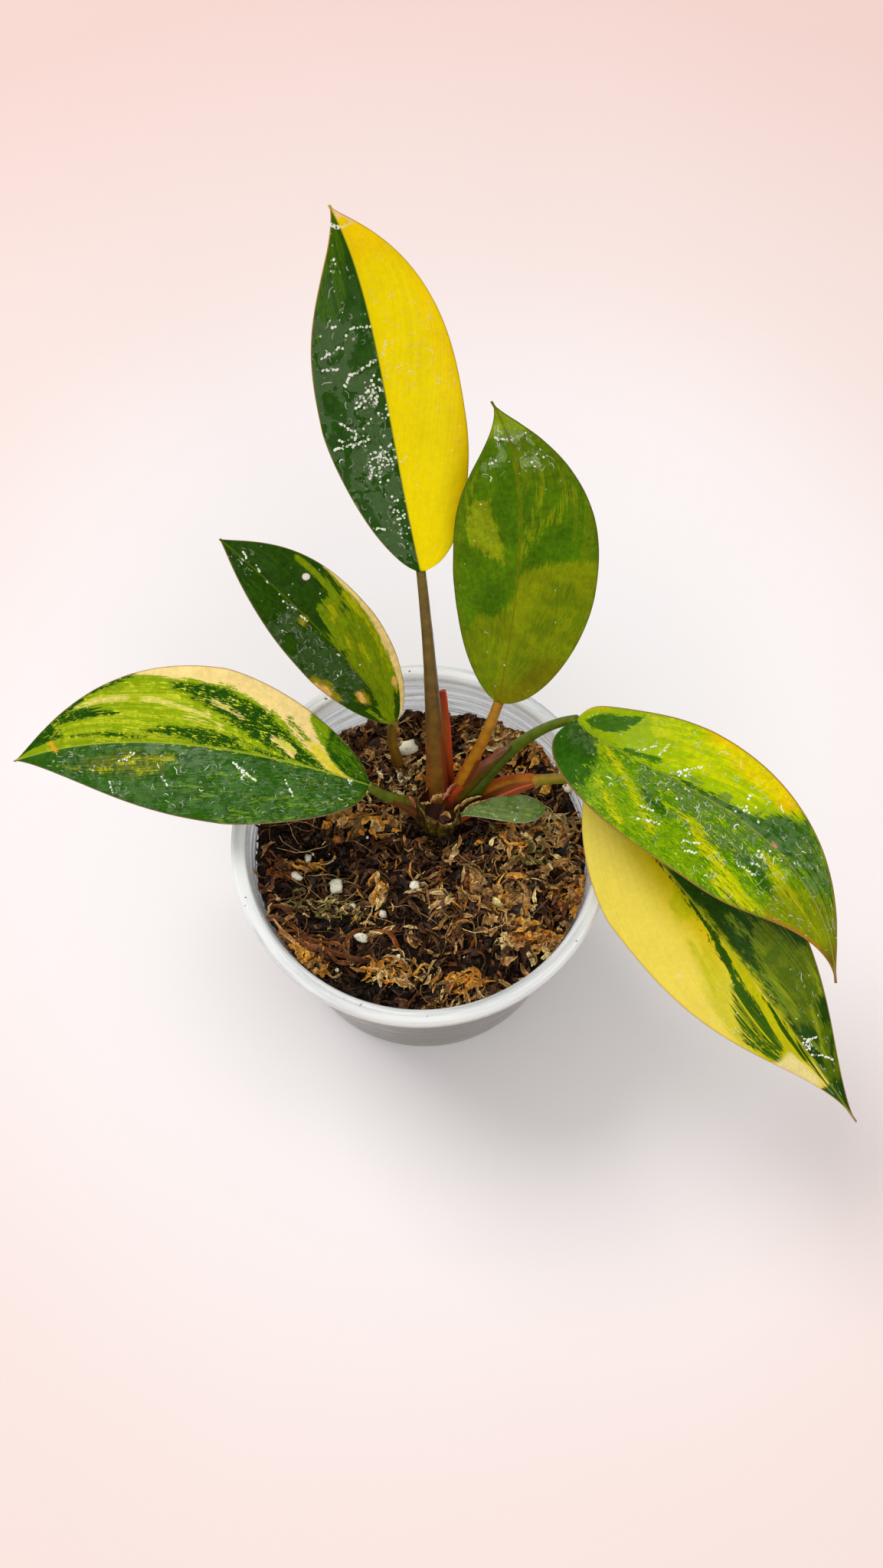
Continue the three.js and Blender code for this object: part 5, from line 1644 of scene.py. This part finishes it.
def grains(name, places, sizes, lift, mix, roughness, material, seed):
    """One piece of many irregular grains that sit on the mix."""
    rng = np.random.default_rng(seed)
    template, pattern = lump_template(2)
    points, faces, tints = [], [], []
    for k, ((x, y), size) in enumerate(zip(places, sizes)):
        bumps = layered(template[:, 0] * 1.3 + 7 * k, template[:, 1] * 1.3,
                        template[:, 2] * 1.3, seed, 3) - 0.5
        shape = template * (1 + roughness * bumps)[:, None] * size * rng.uniform(0.6, 1.2, 3)
        turn = rng.uniform(0, 2 * np.pi)
        c, s = math.cos(turn), math.sin(turn)
        spin = np.array([[c, -s, 0], [s, c, 0], [0, 0, 1]])
        points.append(shape @ spin.T + (x, y, float(soil_height(x, y)) + lift * size))
        faces.append(pattern + k * len(template))
        tints.append(np.repeat(flake_tints(mix, 1, rng), len(template), axis=0))
    piece(name, np.concatenate(points), np.concatenate(faces).tolist(), material,
          fields={"tint": np.concatenate(tints)})


# White grains of perlite and larger orange chips: the place and size of each.
PERLITE = [((-33.5, -8.9), 1.5), ((-22.9, -11), 1.6), ((-2.1, -11.2), 1.3), ((-10.4, -18.5), 1.7),
           ((-15.8, -25.3), 1.6), ((-18.6, -16.3), 1.0), ((-14.8, -17.6), 0.7), ((-6, -30.8), 0.8),
           ((40.4, 18.1), 1.3), ((-4.1, 30.8), 2.3), ((-31, -3), 1.3), ((-15, 3.4), 0.5),
           ((-37, 12), 0.5), ((-22, -34), 0.6)]


def perlite_material():
    mat = Material("perlite")
    grain = mat.noise(mat.place(), 1.8, 4, 0.65)
    colour = mat.ramp(grain, [(0.3, rgb(164, 150, 114)), (0.42, rgb(232, 224, 194)),
                              (0.6, rgb(252, 249, 230))])
    return mat.surface(colour=colour, roughness=0.8, normal=mat.bump(grain, 0.4, 0.6),
                       specular=0.2)


def make_perlite():
    rng = np.random.default_rng(5)
    extra = clear_of_stem(disc_points(26, 40, rng), 3)
    places = [place for place, _ in PERLITE] + [tuple(p) for p in extra]
    sizes = [size for _, size in PERLITE] + list(rng.uniform(0.2, 0.45, len(extra)))
    grains("mix_perlite", places, sizes, 1.5, dict(cream=1), 1.5, perlite_material(), 61)


CHIPS = [((-23.4, 3.4), 1.3), ((-16.7, 4.8), 1.2), ((-10, 2.7), 0.8)]


def make_chips():
    rng = np.random.default_rng(71)
    places = [place for place, _ in CHIPS]
    grains("mix_orange_chips", places, [size for _, size in CHIPS], 1.1,
           dict(orange=1, gold=1), 0.6, flake_material("orange_chips"), 12)
    places = clear_of_stem(disc_points(420, mix_edge(60) - 2, rng), 1)
    grains("mix_crumbs", places, rng.uniform(0.3, 0.9, len(places)), 0.3,
           dict(dark=4, brown=4, rust=2, tan=2, black=4), 0.9, flake_material("crumbs"), 71)


# The pot: the wall, ridges and lip turned on one outline, then the drain holes cut.
def pot_outline():
    """Outline of the pot from the middle of its underside, round the lip, to its floor."""
    lip_under = POT_HEIGHT - 2 * WALL

    def ridge(z):
        k = np.clip(np.round((z - FIRST_RIDGE) / RIDGE_PITCH), 0, RIDGES - 1)
        off = z - FIRST_RIDGE - k * RIDGE_PITCH
        return RIDGE_DEPTH * np.clip(1 - off * off, 0, 1)

    outline = [(6, 0), (20, 0), (BASE_RADIUS - BASE_CORNER, 0)]
    for turn in np.linspace(0.3, 1.5, 4):
        outline.append((BASE_RADIUS - BASE_CORNER * (1 - math.sin(turn)),
                        BASE_CORNER * (1 - math.cos(turn))))
    outside = np.concatenate([np.linspace(2, 54, 14), np.arange(55, lip_under - 0.2, 0.4)])
    outline += [(wall_radius(z) + float(ridge(z)), z) for z in outside]
    outline += [(WALL_TOP + 0.1, lip_under), (RIM_RADIUS - WALL - 0.2, lip_under),
                (RIM_RADIUS - WALL, lip_under - 0.3), (RIM_RADIUS - WALL, LIP_FOOT + 0.1),
                (RIM_RADIUS - WALL + 0.2, LIP_FOOT), (RIM_RADIUS - 0.15, LIP_FOOT),
                (RIM_RADIUS, LIP_FOOT + 0.2), (RIM_RADIUS, POT_HEIGHT - LIP_ROUND)]
    for turn in np.linspace(0.2, 1.5, 5):
        outline.append((RIM_RADIUS - LIP_ROUND * (1 - math.cos(turn)),
                        POT_HEIGHT - LIP_ROUND * (1 - math.sin(turn))))
    outline += [(WALL_TOP + 0.3, POT_HEIGHT), (WALL_TOP - 0.4, POT_HEIGHT - 0.25)]
    inside = np.concatenate([np.arange(lip_under - 0.3, 55, -0.4), np.linspace(54, 3, 14)])
    outline += [(wall_radius(z) - WALL, z) for z in inside]
    outline += [(BASE_RADIUS - BASE_CORNER - 0.4, FLOOR + 0.3), (BASE_RADIUS - 3, FLOOR),
                (20, FLOOR), (6, FLOOR)]
    return outline


# Heights between which the wall changes from mix behind it to air behind it.
MIX_SEEN = (48.0, 62.0)


def pot_material():
    """Clear plastic, cloudy along the ridges, the lip and finer drawn lines, which a painted white
    highlight also whitens.
    """
    mat = Material("clear_plastic")
    place = mat.place()
    height = mat.add("SeparateXYZ", {0: place}, 2)
    level = mat.add("VectorMath", {0: place, 1: (1, 1, 0)}, operation="MULTIPLY")
    turn = mat.scaled(mat.add("VectorMath", {0: level}, operation="NORMALIZE"), 1.4)
    rise = mat.times(mat.plus(mat.length(level), height), 0.6)
    streak_at = mat.moved(turn, mat.vector(0.0, 0.0, rise))
    streak = mat.noise(streak_at, 1.0, 2, 0.5)
    drawn = mat.noise(mat.scaled(streak_at, 0.6), 1.0, 1, 0.4)

    def drawn_line(value):
        off = mat.math("ABSOLUTE", mat.plus(drawn, -value))
        return mat.band(off, 0.006, 0.02, 1.0, 0.0)

    fine = mat.most(drawn_line(0.45), drawn_line(0.56))
    fine = mat.times(fine, mat.band(height, *MIX_SEEN, 0.2, 1.0))
    count = mat.math("DIVIDE", mat.plus(height, -FIRST_RIDGE), RIDGE_PITCH)
    line = mat.band(mat.math("PINGPONG", count, 0.5), 0.03, 0.1, 1.0, 0.0)
    line = mat.times(line, mat.band(count, -0.5, -0.3))
    line = mat.times(line, mat.band(streak, 0.3, 0.6, 0.5, 1.0))
    lip = mat.band(height, LIP_FOOT - 0.5, LIP_FOOT + 0.5)
    lip = mat.times(lip, mat.band(streak, 0.35, 0.65, 0.4, 0.8))
    cloudy = mat.most(mat.times(line, 0.85), lip)
    above = mat.band(height, *MIX_SEEN)
    haze = mat.band(streak, 0.4, 0.8, 0.18, 0.34)
    haze = mat.times(haze, mat.plus(mat.times(above, 0.6), 0.4))
    cloudy = mat.most(cloudy, haze)
    cloudy = mat.most(cloudy, mat.times(fine, mat.band(streak, 0.35, 0.6, 0.3, 0.6)))
    # A painted white highlight along the ridge lines, the lip and the drawn lines.
    painted_white_highlight = mat.most(mat.most(line, lip), fine)
    tint = mat.blend(above, rgb(205, 198, 188), rgb(240, 247, 252))
    colour = mat.blend(painted_white_highlight, tint, rgb(253, 252, 248))
    speck = mat.band(mat.noise(place, 0.7, 1), 0.74, 0.76)
    colour = mat.blend(mat.times(speck, lip), colour, rgb(60, 44, 30))
    roughness = mat.band(streak, 0.35, 0.75, 0.08, 0.25)
    return mat.surface(colour=colour, clear=mat.math("SUBTRACT", 1.0, cloudy),
                       roughness=roughness, ior=1.12)


def hole_cutter():
    """Upright cylinders where the floor's drain holes are."""
    mesh = bpy.data.meshes.new("holes")
    work = bmesh.new()
    radius, ring = HOLE_RADIUS * MM, HOLE_CIRCLE * MM
    for k in range(HOLES):
        angle = 2 * math.pi * (k + 0.5) / HOLES
        found = bmesh.ops.create_cone(work, cap_ends=True, segments=32, radius1=radius,
                                      radius2=radius, depth=6 * MM)
        bmesh.ops.translate(work, verts=found["verts"],
                            vec=(ring * math.cos(angle), ring * math.sin(angle), 0.5 * MM))
    work.to_mesh(mesh)
    work.free()
    cutter = bpy.data.objects.new("holes", mesh)
    bpy.context.scene.collection.objects.link(cutter)
    return cutter


def make_pot():
    steps = 200
    rows = [around(r, circle(steps), z) for r, z in pot_outline()]
    points = np.concatenate(rows + [[(0, 0, 0)], [(0, 0, FLOOR)]])
    made = piece("pot_shell", points, ring_faces(len(rows), steps), pot_material(),
                 ["pot"])
    cutter = hole_cutter()
    cut = made.modifiers.new("holes", "BOOLEAN")
    cut.operation = "DIFFERENCE"
    cut.object = cutter
    depsgraph = bpy.context.evaluated_depsgraph_get()
    finished = bpy.data.meshes.new_from_object(made.evaluated_get(depsgraph))
    made.modifiers.clear()
    made.data = finished
    bpy.data.objects.remove(cutter)


# Water on the leaves: scattered beads, clusters (s, h, count), rows of beads (from s, h to
# s, h and a count) and worms where a film has drawn together (count, the least and greatest s
# and h, and 1 where they run across the leaf). Each bead and worm is paled towards a painted
# glint colour: dull is how far one without a bright glint may be paled, and dim weakens it on the
# right half.
def water(beads, worms, clusters, rows, dim=1, dull=0.4):
    return dict(beads=beads, worms=worms, clusters=clusters, rows=rows, dim=dim, dull=dull)


WATER = {
    "tall": water(
        60,
        [(60, 0.05, 0.8, -0.92, -0.06, 0), (36, 0.22, 0.86, 0.06, 0.92, 1),
         (56, 0.42, 0.7, 0.06, 0.92, 1)],
        [(0.1, -0.25, 12), (0.14, -0.25, 14), (0.17, -0.2, 8), (0.26, -0.45, 30),
         (0.29, -0.35, 34), (0.27, -0.15, 24), (0.3, -0.12, 10), (0.34, -0.62, 9),
         (0.39, -0.15, 14), (0.43, -0.3, 26), (0.45, -0.14, 34), (0.47, -0.06, 12),
         (0.36, -0.55, 9), (0.6, -0.5, 6), (0.67, -0.6, 6), (0.83, -0.65, 6)],
        [(0.33, -0.9, 0.335, -0.35, 26), (0.48, -0.55, 0.51, -0.45, 8),
         (0.505, -0.45, 0.53, 0.02, 24), (0.53, 0.05, 0.57, 0.14, 8),
         (0.35, -0.5, 0.39, -0.72, 12), (0.945, -0.95, 0.92, 0.0, 30),
         (0.92, 0.03, 0.92, 0.78, 24), (0.12, -0.7, 0.13, -0.95, 8),
         (0.57, -0.85, 0.59, -0.55, 12), (0.53, -0.6, 0.54, -0.85, 10),
         (0.63, -0.35, 0.62, -0.03, 9)], dim=0.4),
    "upright": water(
        24,
        [(34, 0.74, 0.82, -0.85, 0.8, 1), (22, 0.84, 0.92, -0.8, 0.8, 1)],
        [(0.8, -0.55, 5), (0.79, 0.5, 5)],
        [(0.88, -0.6, 0.86, 0.0, 8), (0.86, 0.1, 0.87, 0.8, 8)]),
    "back_left": water(
        50,
        [(60, 0.2, 0.62, -0.9, -0.06, 0), (16, 0.84, 0.93, -0.8, 0.5, 1)],
        [(0.62, -0.2, 3), (0.65, -0.06, 3)],
        [(0.53, -0.05, 0.56, -0.06, 6), (0.59, -0.04, 0.61, -0.06, 5),
         (0.73, -0.03, 0.75, -0.03, 4), (0.8, 0.05, 0.82, 0.12, 5),
         (0.87, 0.12, 0.9, 0.3, 8), (0.34, -0.05, 0.35, -0.08, 4)], dull=0.25),
    "left": water(
        110,
        [(170, 0.06, 0.9, -0.92, -0.06, 0)],
        [(0.38, -0.28, 12), (0.07, -0.05, 5), (0.68, -0.2, 4)],
        [(0.35, -0.36, 0.42, -0.16, 24), (0.24, -0.55, 0.27, -0.3, 10),
         (0.07, -0.2, 0.08, -0.02, 8), (0.68, -0.22, 0.72, -0.34, 9),
         (0.58, -0.6, 0.6, -0.5, 6), (0.73, -0.95, 0.74, -0.75, 8)]),
    "right": water(
        130,
        [(40, 0.2, 0.68, -0.9, -0.1, 1), (40, 0.6, 0.9, -0.9, 0, 1),
         (150, 0.22, 0.76, 0.03, 0.6, 0), (50, 0.3, 0.85, 0.5, 0.9, 0)],
        [(0.64, 0.24, 16), (0.54, -0.25, 12), (0.36, -0.05, 8), (0.4, 0.05, 8)],
        [(0.33, 0.7, 0.38, 0.6, 13), (0.45, 0.64, 0.49, 0.55, 12),
         (0.47, 0.72, 0.5, 0.65, 10), (0.32, 0.55, 0.35, 0.5, 9),
         (0.6, 0.49, 0.66, 0.47, 10), (0.23, -0.15, 0.27, -0.38, 10),
         (0.29, -0.25, 0.3, -0.48, 10), (0.35, -0.12, 0.4, -0.38, 14)]),
    "front_right": water(
        30,
        [(30, 0.66, 0.88, -0.9, -0.06, 1), (16, 0.5, 0.7, 0.7, 0.92, 1),
         (12, 0.86, 0.93, -0.6, 0.5, 1)],
        [(0.8, -0.2, 12), (0.81, -0.1, 8)],
        [(0.8, -0.45, 0.79, -0.1, 12), (0.86, -0.7, 0.83, -0.2, 10)]),
    "small": water(10, [(3, 0.3, 0.8, 0.1, 0.8, 0)], [(0.6, 0.3, 4)], []),
}
WORM_STEPS = 9
WORM_SIDES = 6


def on_leaf(leaf, seed, s, h):
    """Points on a blade's upper face, with its directions along, across and out."""
    def at(s, h):
        return blade_points(leaf, s, h, blade_relief(leaf, s, h, seed) + SHEET / 2)

    here = at(s, h)
    along = unit(at(s + 0.002, h) - here)
    out = unit(np.cross(at(s, h + 0.01) - here, along))
    return here, along, np.cross(along, out), out


def bead_spots(plan, leaf, rng):
    """Place s, h, radius in mm and chance of a bright painted glint for each bead."""
    length, width = blade_length(leaf), leaf["left"]["width"]
    count = plan["beads"]
    rows = [np.stack([rng.uniform(0.04, 0.93, count), rng.uniform(-0.93, 0.93, count),
                      rng.uniform(0.1, 0.26, count), np.full(count, 0.06)], 1)]
    for s, h, count in plan["clusters"]:
        near = rng.normal(0, 1, (count, 2)) * (1.1 / length, 1.5 / width)
        rows.append(np.stack([s + near[:, 0], h + near[:, 1], rng.uniform(0.14, 0.4, count),
                              np.full(count, 0.7)], 1))
    for s0, h0, s1, h1, count in plan["rows"]:
        t = np.linspace(0, 1, count)
        near = rng.normal(0, 0.12, (count, 2)) / (length, width)
        rows.append(np.stack([lerp(s0, s1, t) + near[:, 0], lerp(h0, h1, t) + near[:, 1],
                              rng.uniform(0.18, 0.36, count), np.full(count, 0.85)], 1))
    spots = np.concatenate(rows)
    inside = (spots[:, 0] > 0.02) & (spots[:, 0] < 0.95) & (np.abs(spots[:, 1]) < 0.95)
    return spots[inside & (np.abs(spots[:, 1]) > 0.02)]


def bead_template():
    """A low dome of unit radius with its foot sunk below the surface."""
    sides, levels = 8, [(1.0, -0.3), (1.0, 0.0), (0.76, 0.3), (0.4, 0.46)]
    rings = [around(r, circle(sides), z) for r, z in levels]
    points = np.concatenate(rings + [[(0, 0, -0.3), (0, 0, 0.52)]])
    return points, ring_faces(len(levels), sides)


def make_worm(leaf, seed, zone, rng):
    """Points, and s and h for each, of one thin ridge of water that wanders over a blade."""
    length, width = blade_length(leaf), leaf["left"]["width"]
    _, s_low, s_high, h_low, h_high, across = zone
    s, h = rng.uniform(s_low, s_high), rng.uniform(h_low, h_high)
    heading = rng.normal(np.pi / 2, 0.5) if across else rng.uniform(0, 6.28)
    bend = rng.normal(0, 0.35)
    stride = rng.uniform(0.1, 0.32)
    low, high = (0.03, 0.93) if h > 0 else (-0.93, -0.03)
    path = []
    for _ in range(WORM_STEPS):
        heading += bend + rng.normal(0, 0.25)
        s += stride * math.cos(heading) / length
        h += stride * math.sin(heading) / width
        path.append((np.clip(s, 0.03, 0.95), np.clip(h, low, high)))
    s, h = np.array(path).T
    here, _, _, out = on_leaf(leaf, seed, s, h)
    run = unit(np.gradient(here, axis=0))
    side = np.cross(run, out)
    taper = np.sin(np.pi * np.linspace(0.08, 0.92, WORM_STEPS)) ** 0.5
    size = rng.uniform(0.09, 0.17) * taper * rng.uniform(0.7, 1.25, WORM_STEPS)
    turn = circle(WORM_SIDES)
    ring = here[:, None] + side[:, None] * (size[:, None] * np.cos(turn))[..., None]
    ring = ring + out[:, None] * (size[:, None] * (0.75 * np.sin(turn) + 0.1))[..., None]
    points = np.concatenate([ring.reshape(-1, 3), here[:1], here[-1:]])
    places = np.stack([s, h], 1)
    places = np.concatenate([np.repeat(places, WORM_SIDES, axis=0), places[:1], places[-1:]])
    return points, places


def water_material(name, plan, seed):
    """The leaf's own colour seen through the water, paled towards a painted white glint: fully on
    some beads, a little on the rest.
    """
    mat = Material("water_" + name)
    colour, _ = leaf_colour(mat, plan, seed)
    colour = mat.blend(mat.field("painted_glint"), colour, PAINTED_GLINT)
    return mat.surface(colour=colour, roughness=0.06, specular=0.15, coat=0.12,
                       coat_roughness=0.03)


def make_leaf_water(name, plan, number):
    """The beads of one leaf, then its worms, as one piece."""
    leaf, seed = LEAVES[name], LEAF_SEED + number
    rng = np.random.default_rng(300 + number)
    template, pattern = bead_template()
    worm_faces = ring_faces(WORM_STEPS, WORM_SIDES)
    s, h, radius, chance = bead_spots(plan, leaf, rng).T
    here, along, across, out = on_leaf(leaf, seed, s, h)
    local = template[None] * radius[:, None, None]
    beads = (here[:, None] + local[..., :1] * across[:, None] + local[..., 1:2]
             * along[:, None] + local[..., 2:] * out[:, None]).reshape(-1, 3)
    each = len(template)
    points, places = [beads], [np.repeat(np.stack([s, h], 1), each, axis=0)]
    faces = [f for k in range(len(s)) for f in shifted(pattern, k * each)]
    counts = [each] * len(s)
    offset = len(beads)
    chance = list(chance)
    for zone in plan["worms"]:
        for _ in range(zone[0]):
            got, worm_places = make_worm(leaf, seed, zone, rng)
            chance.append(0.05)
            points.append(got)
            places.append(worm_places)
            faces += shifted(worm_faces, offset)
            counts.append(len(got))
            offset += len(got)
    s, h = np.concatenate(places).T
    # A bright painted glint on some beads and worms; the rest are paled a little towards it.
    bright = rng.uniform(0, 1, len(counts)) < np.array(chance)
    painted_glint = np.where(bright, rng.uniform(0.75, 1.0, len(counts)),
                     rng.uniform(0.05, plan["dull"], len(counts)))
    fields = leaf_fields(leaf, PATTERNS[name], s, h)
    fields["painted_glint"] = np.repeat(painted_glint, counts) * np.where(h > 0, plan["dim"], 1)
    piece("water_" + name, np.concatenate(points), faces,
          water_material(name, PATTERNS[name], seed), fields=fields)


def make_water():
    for number, (name, plan) in enumerate(WATER.items()):
        make_leaf_water(name, plan, number)


make_camera()
make_lights()
make_floor()
make_pot()
make_mix_body()
make_flakes()
make_wall_fibres()
make_chips()
make_perlite()
make_stem()
make_ribbons()
make_red_sheath()
make_petioles()
make_sheath_wing()
make_leaves()
make_water()
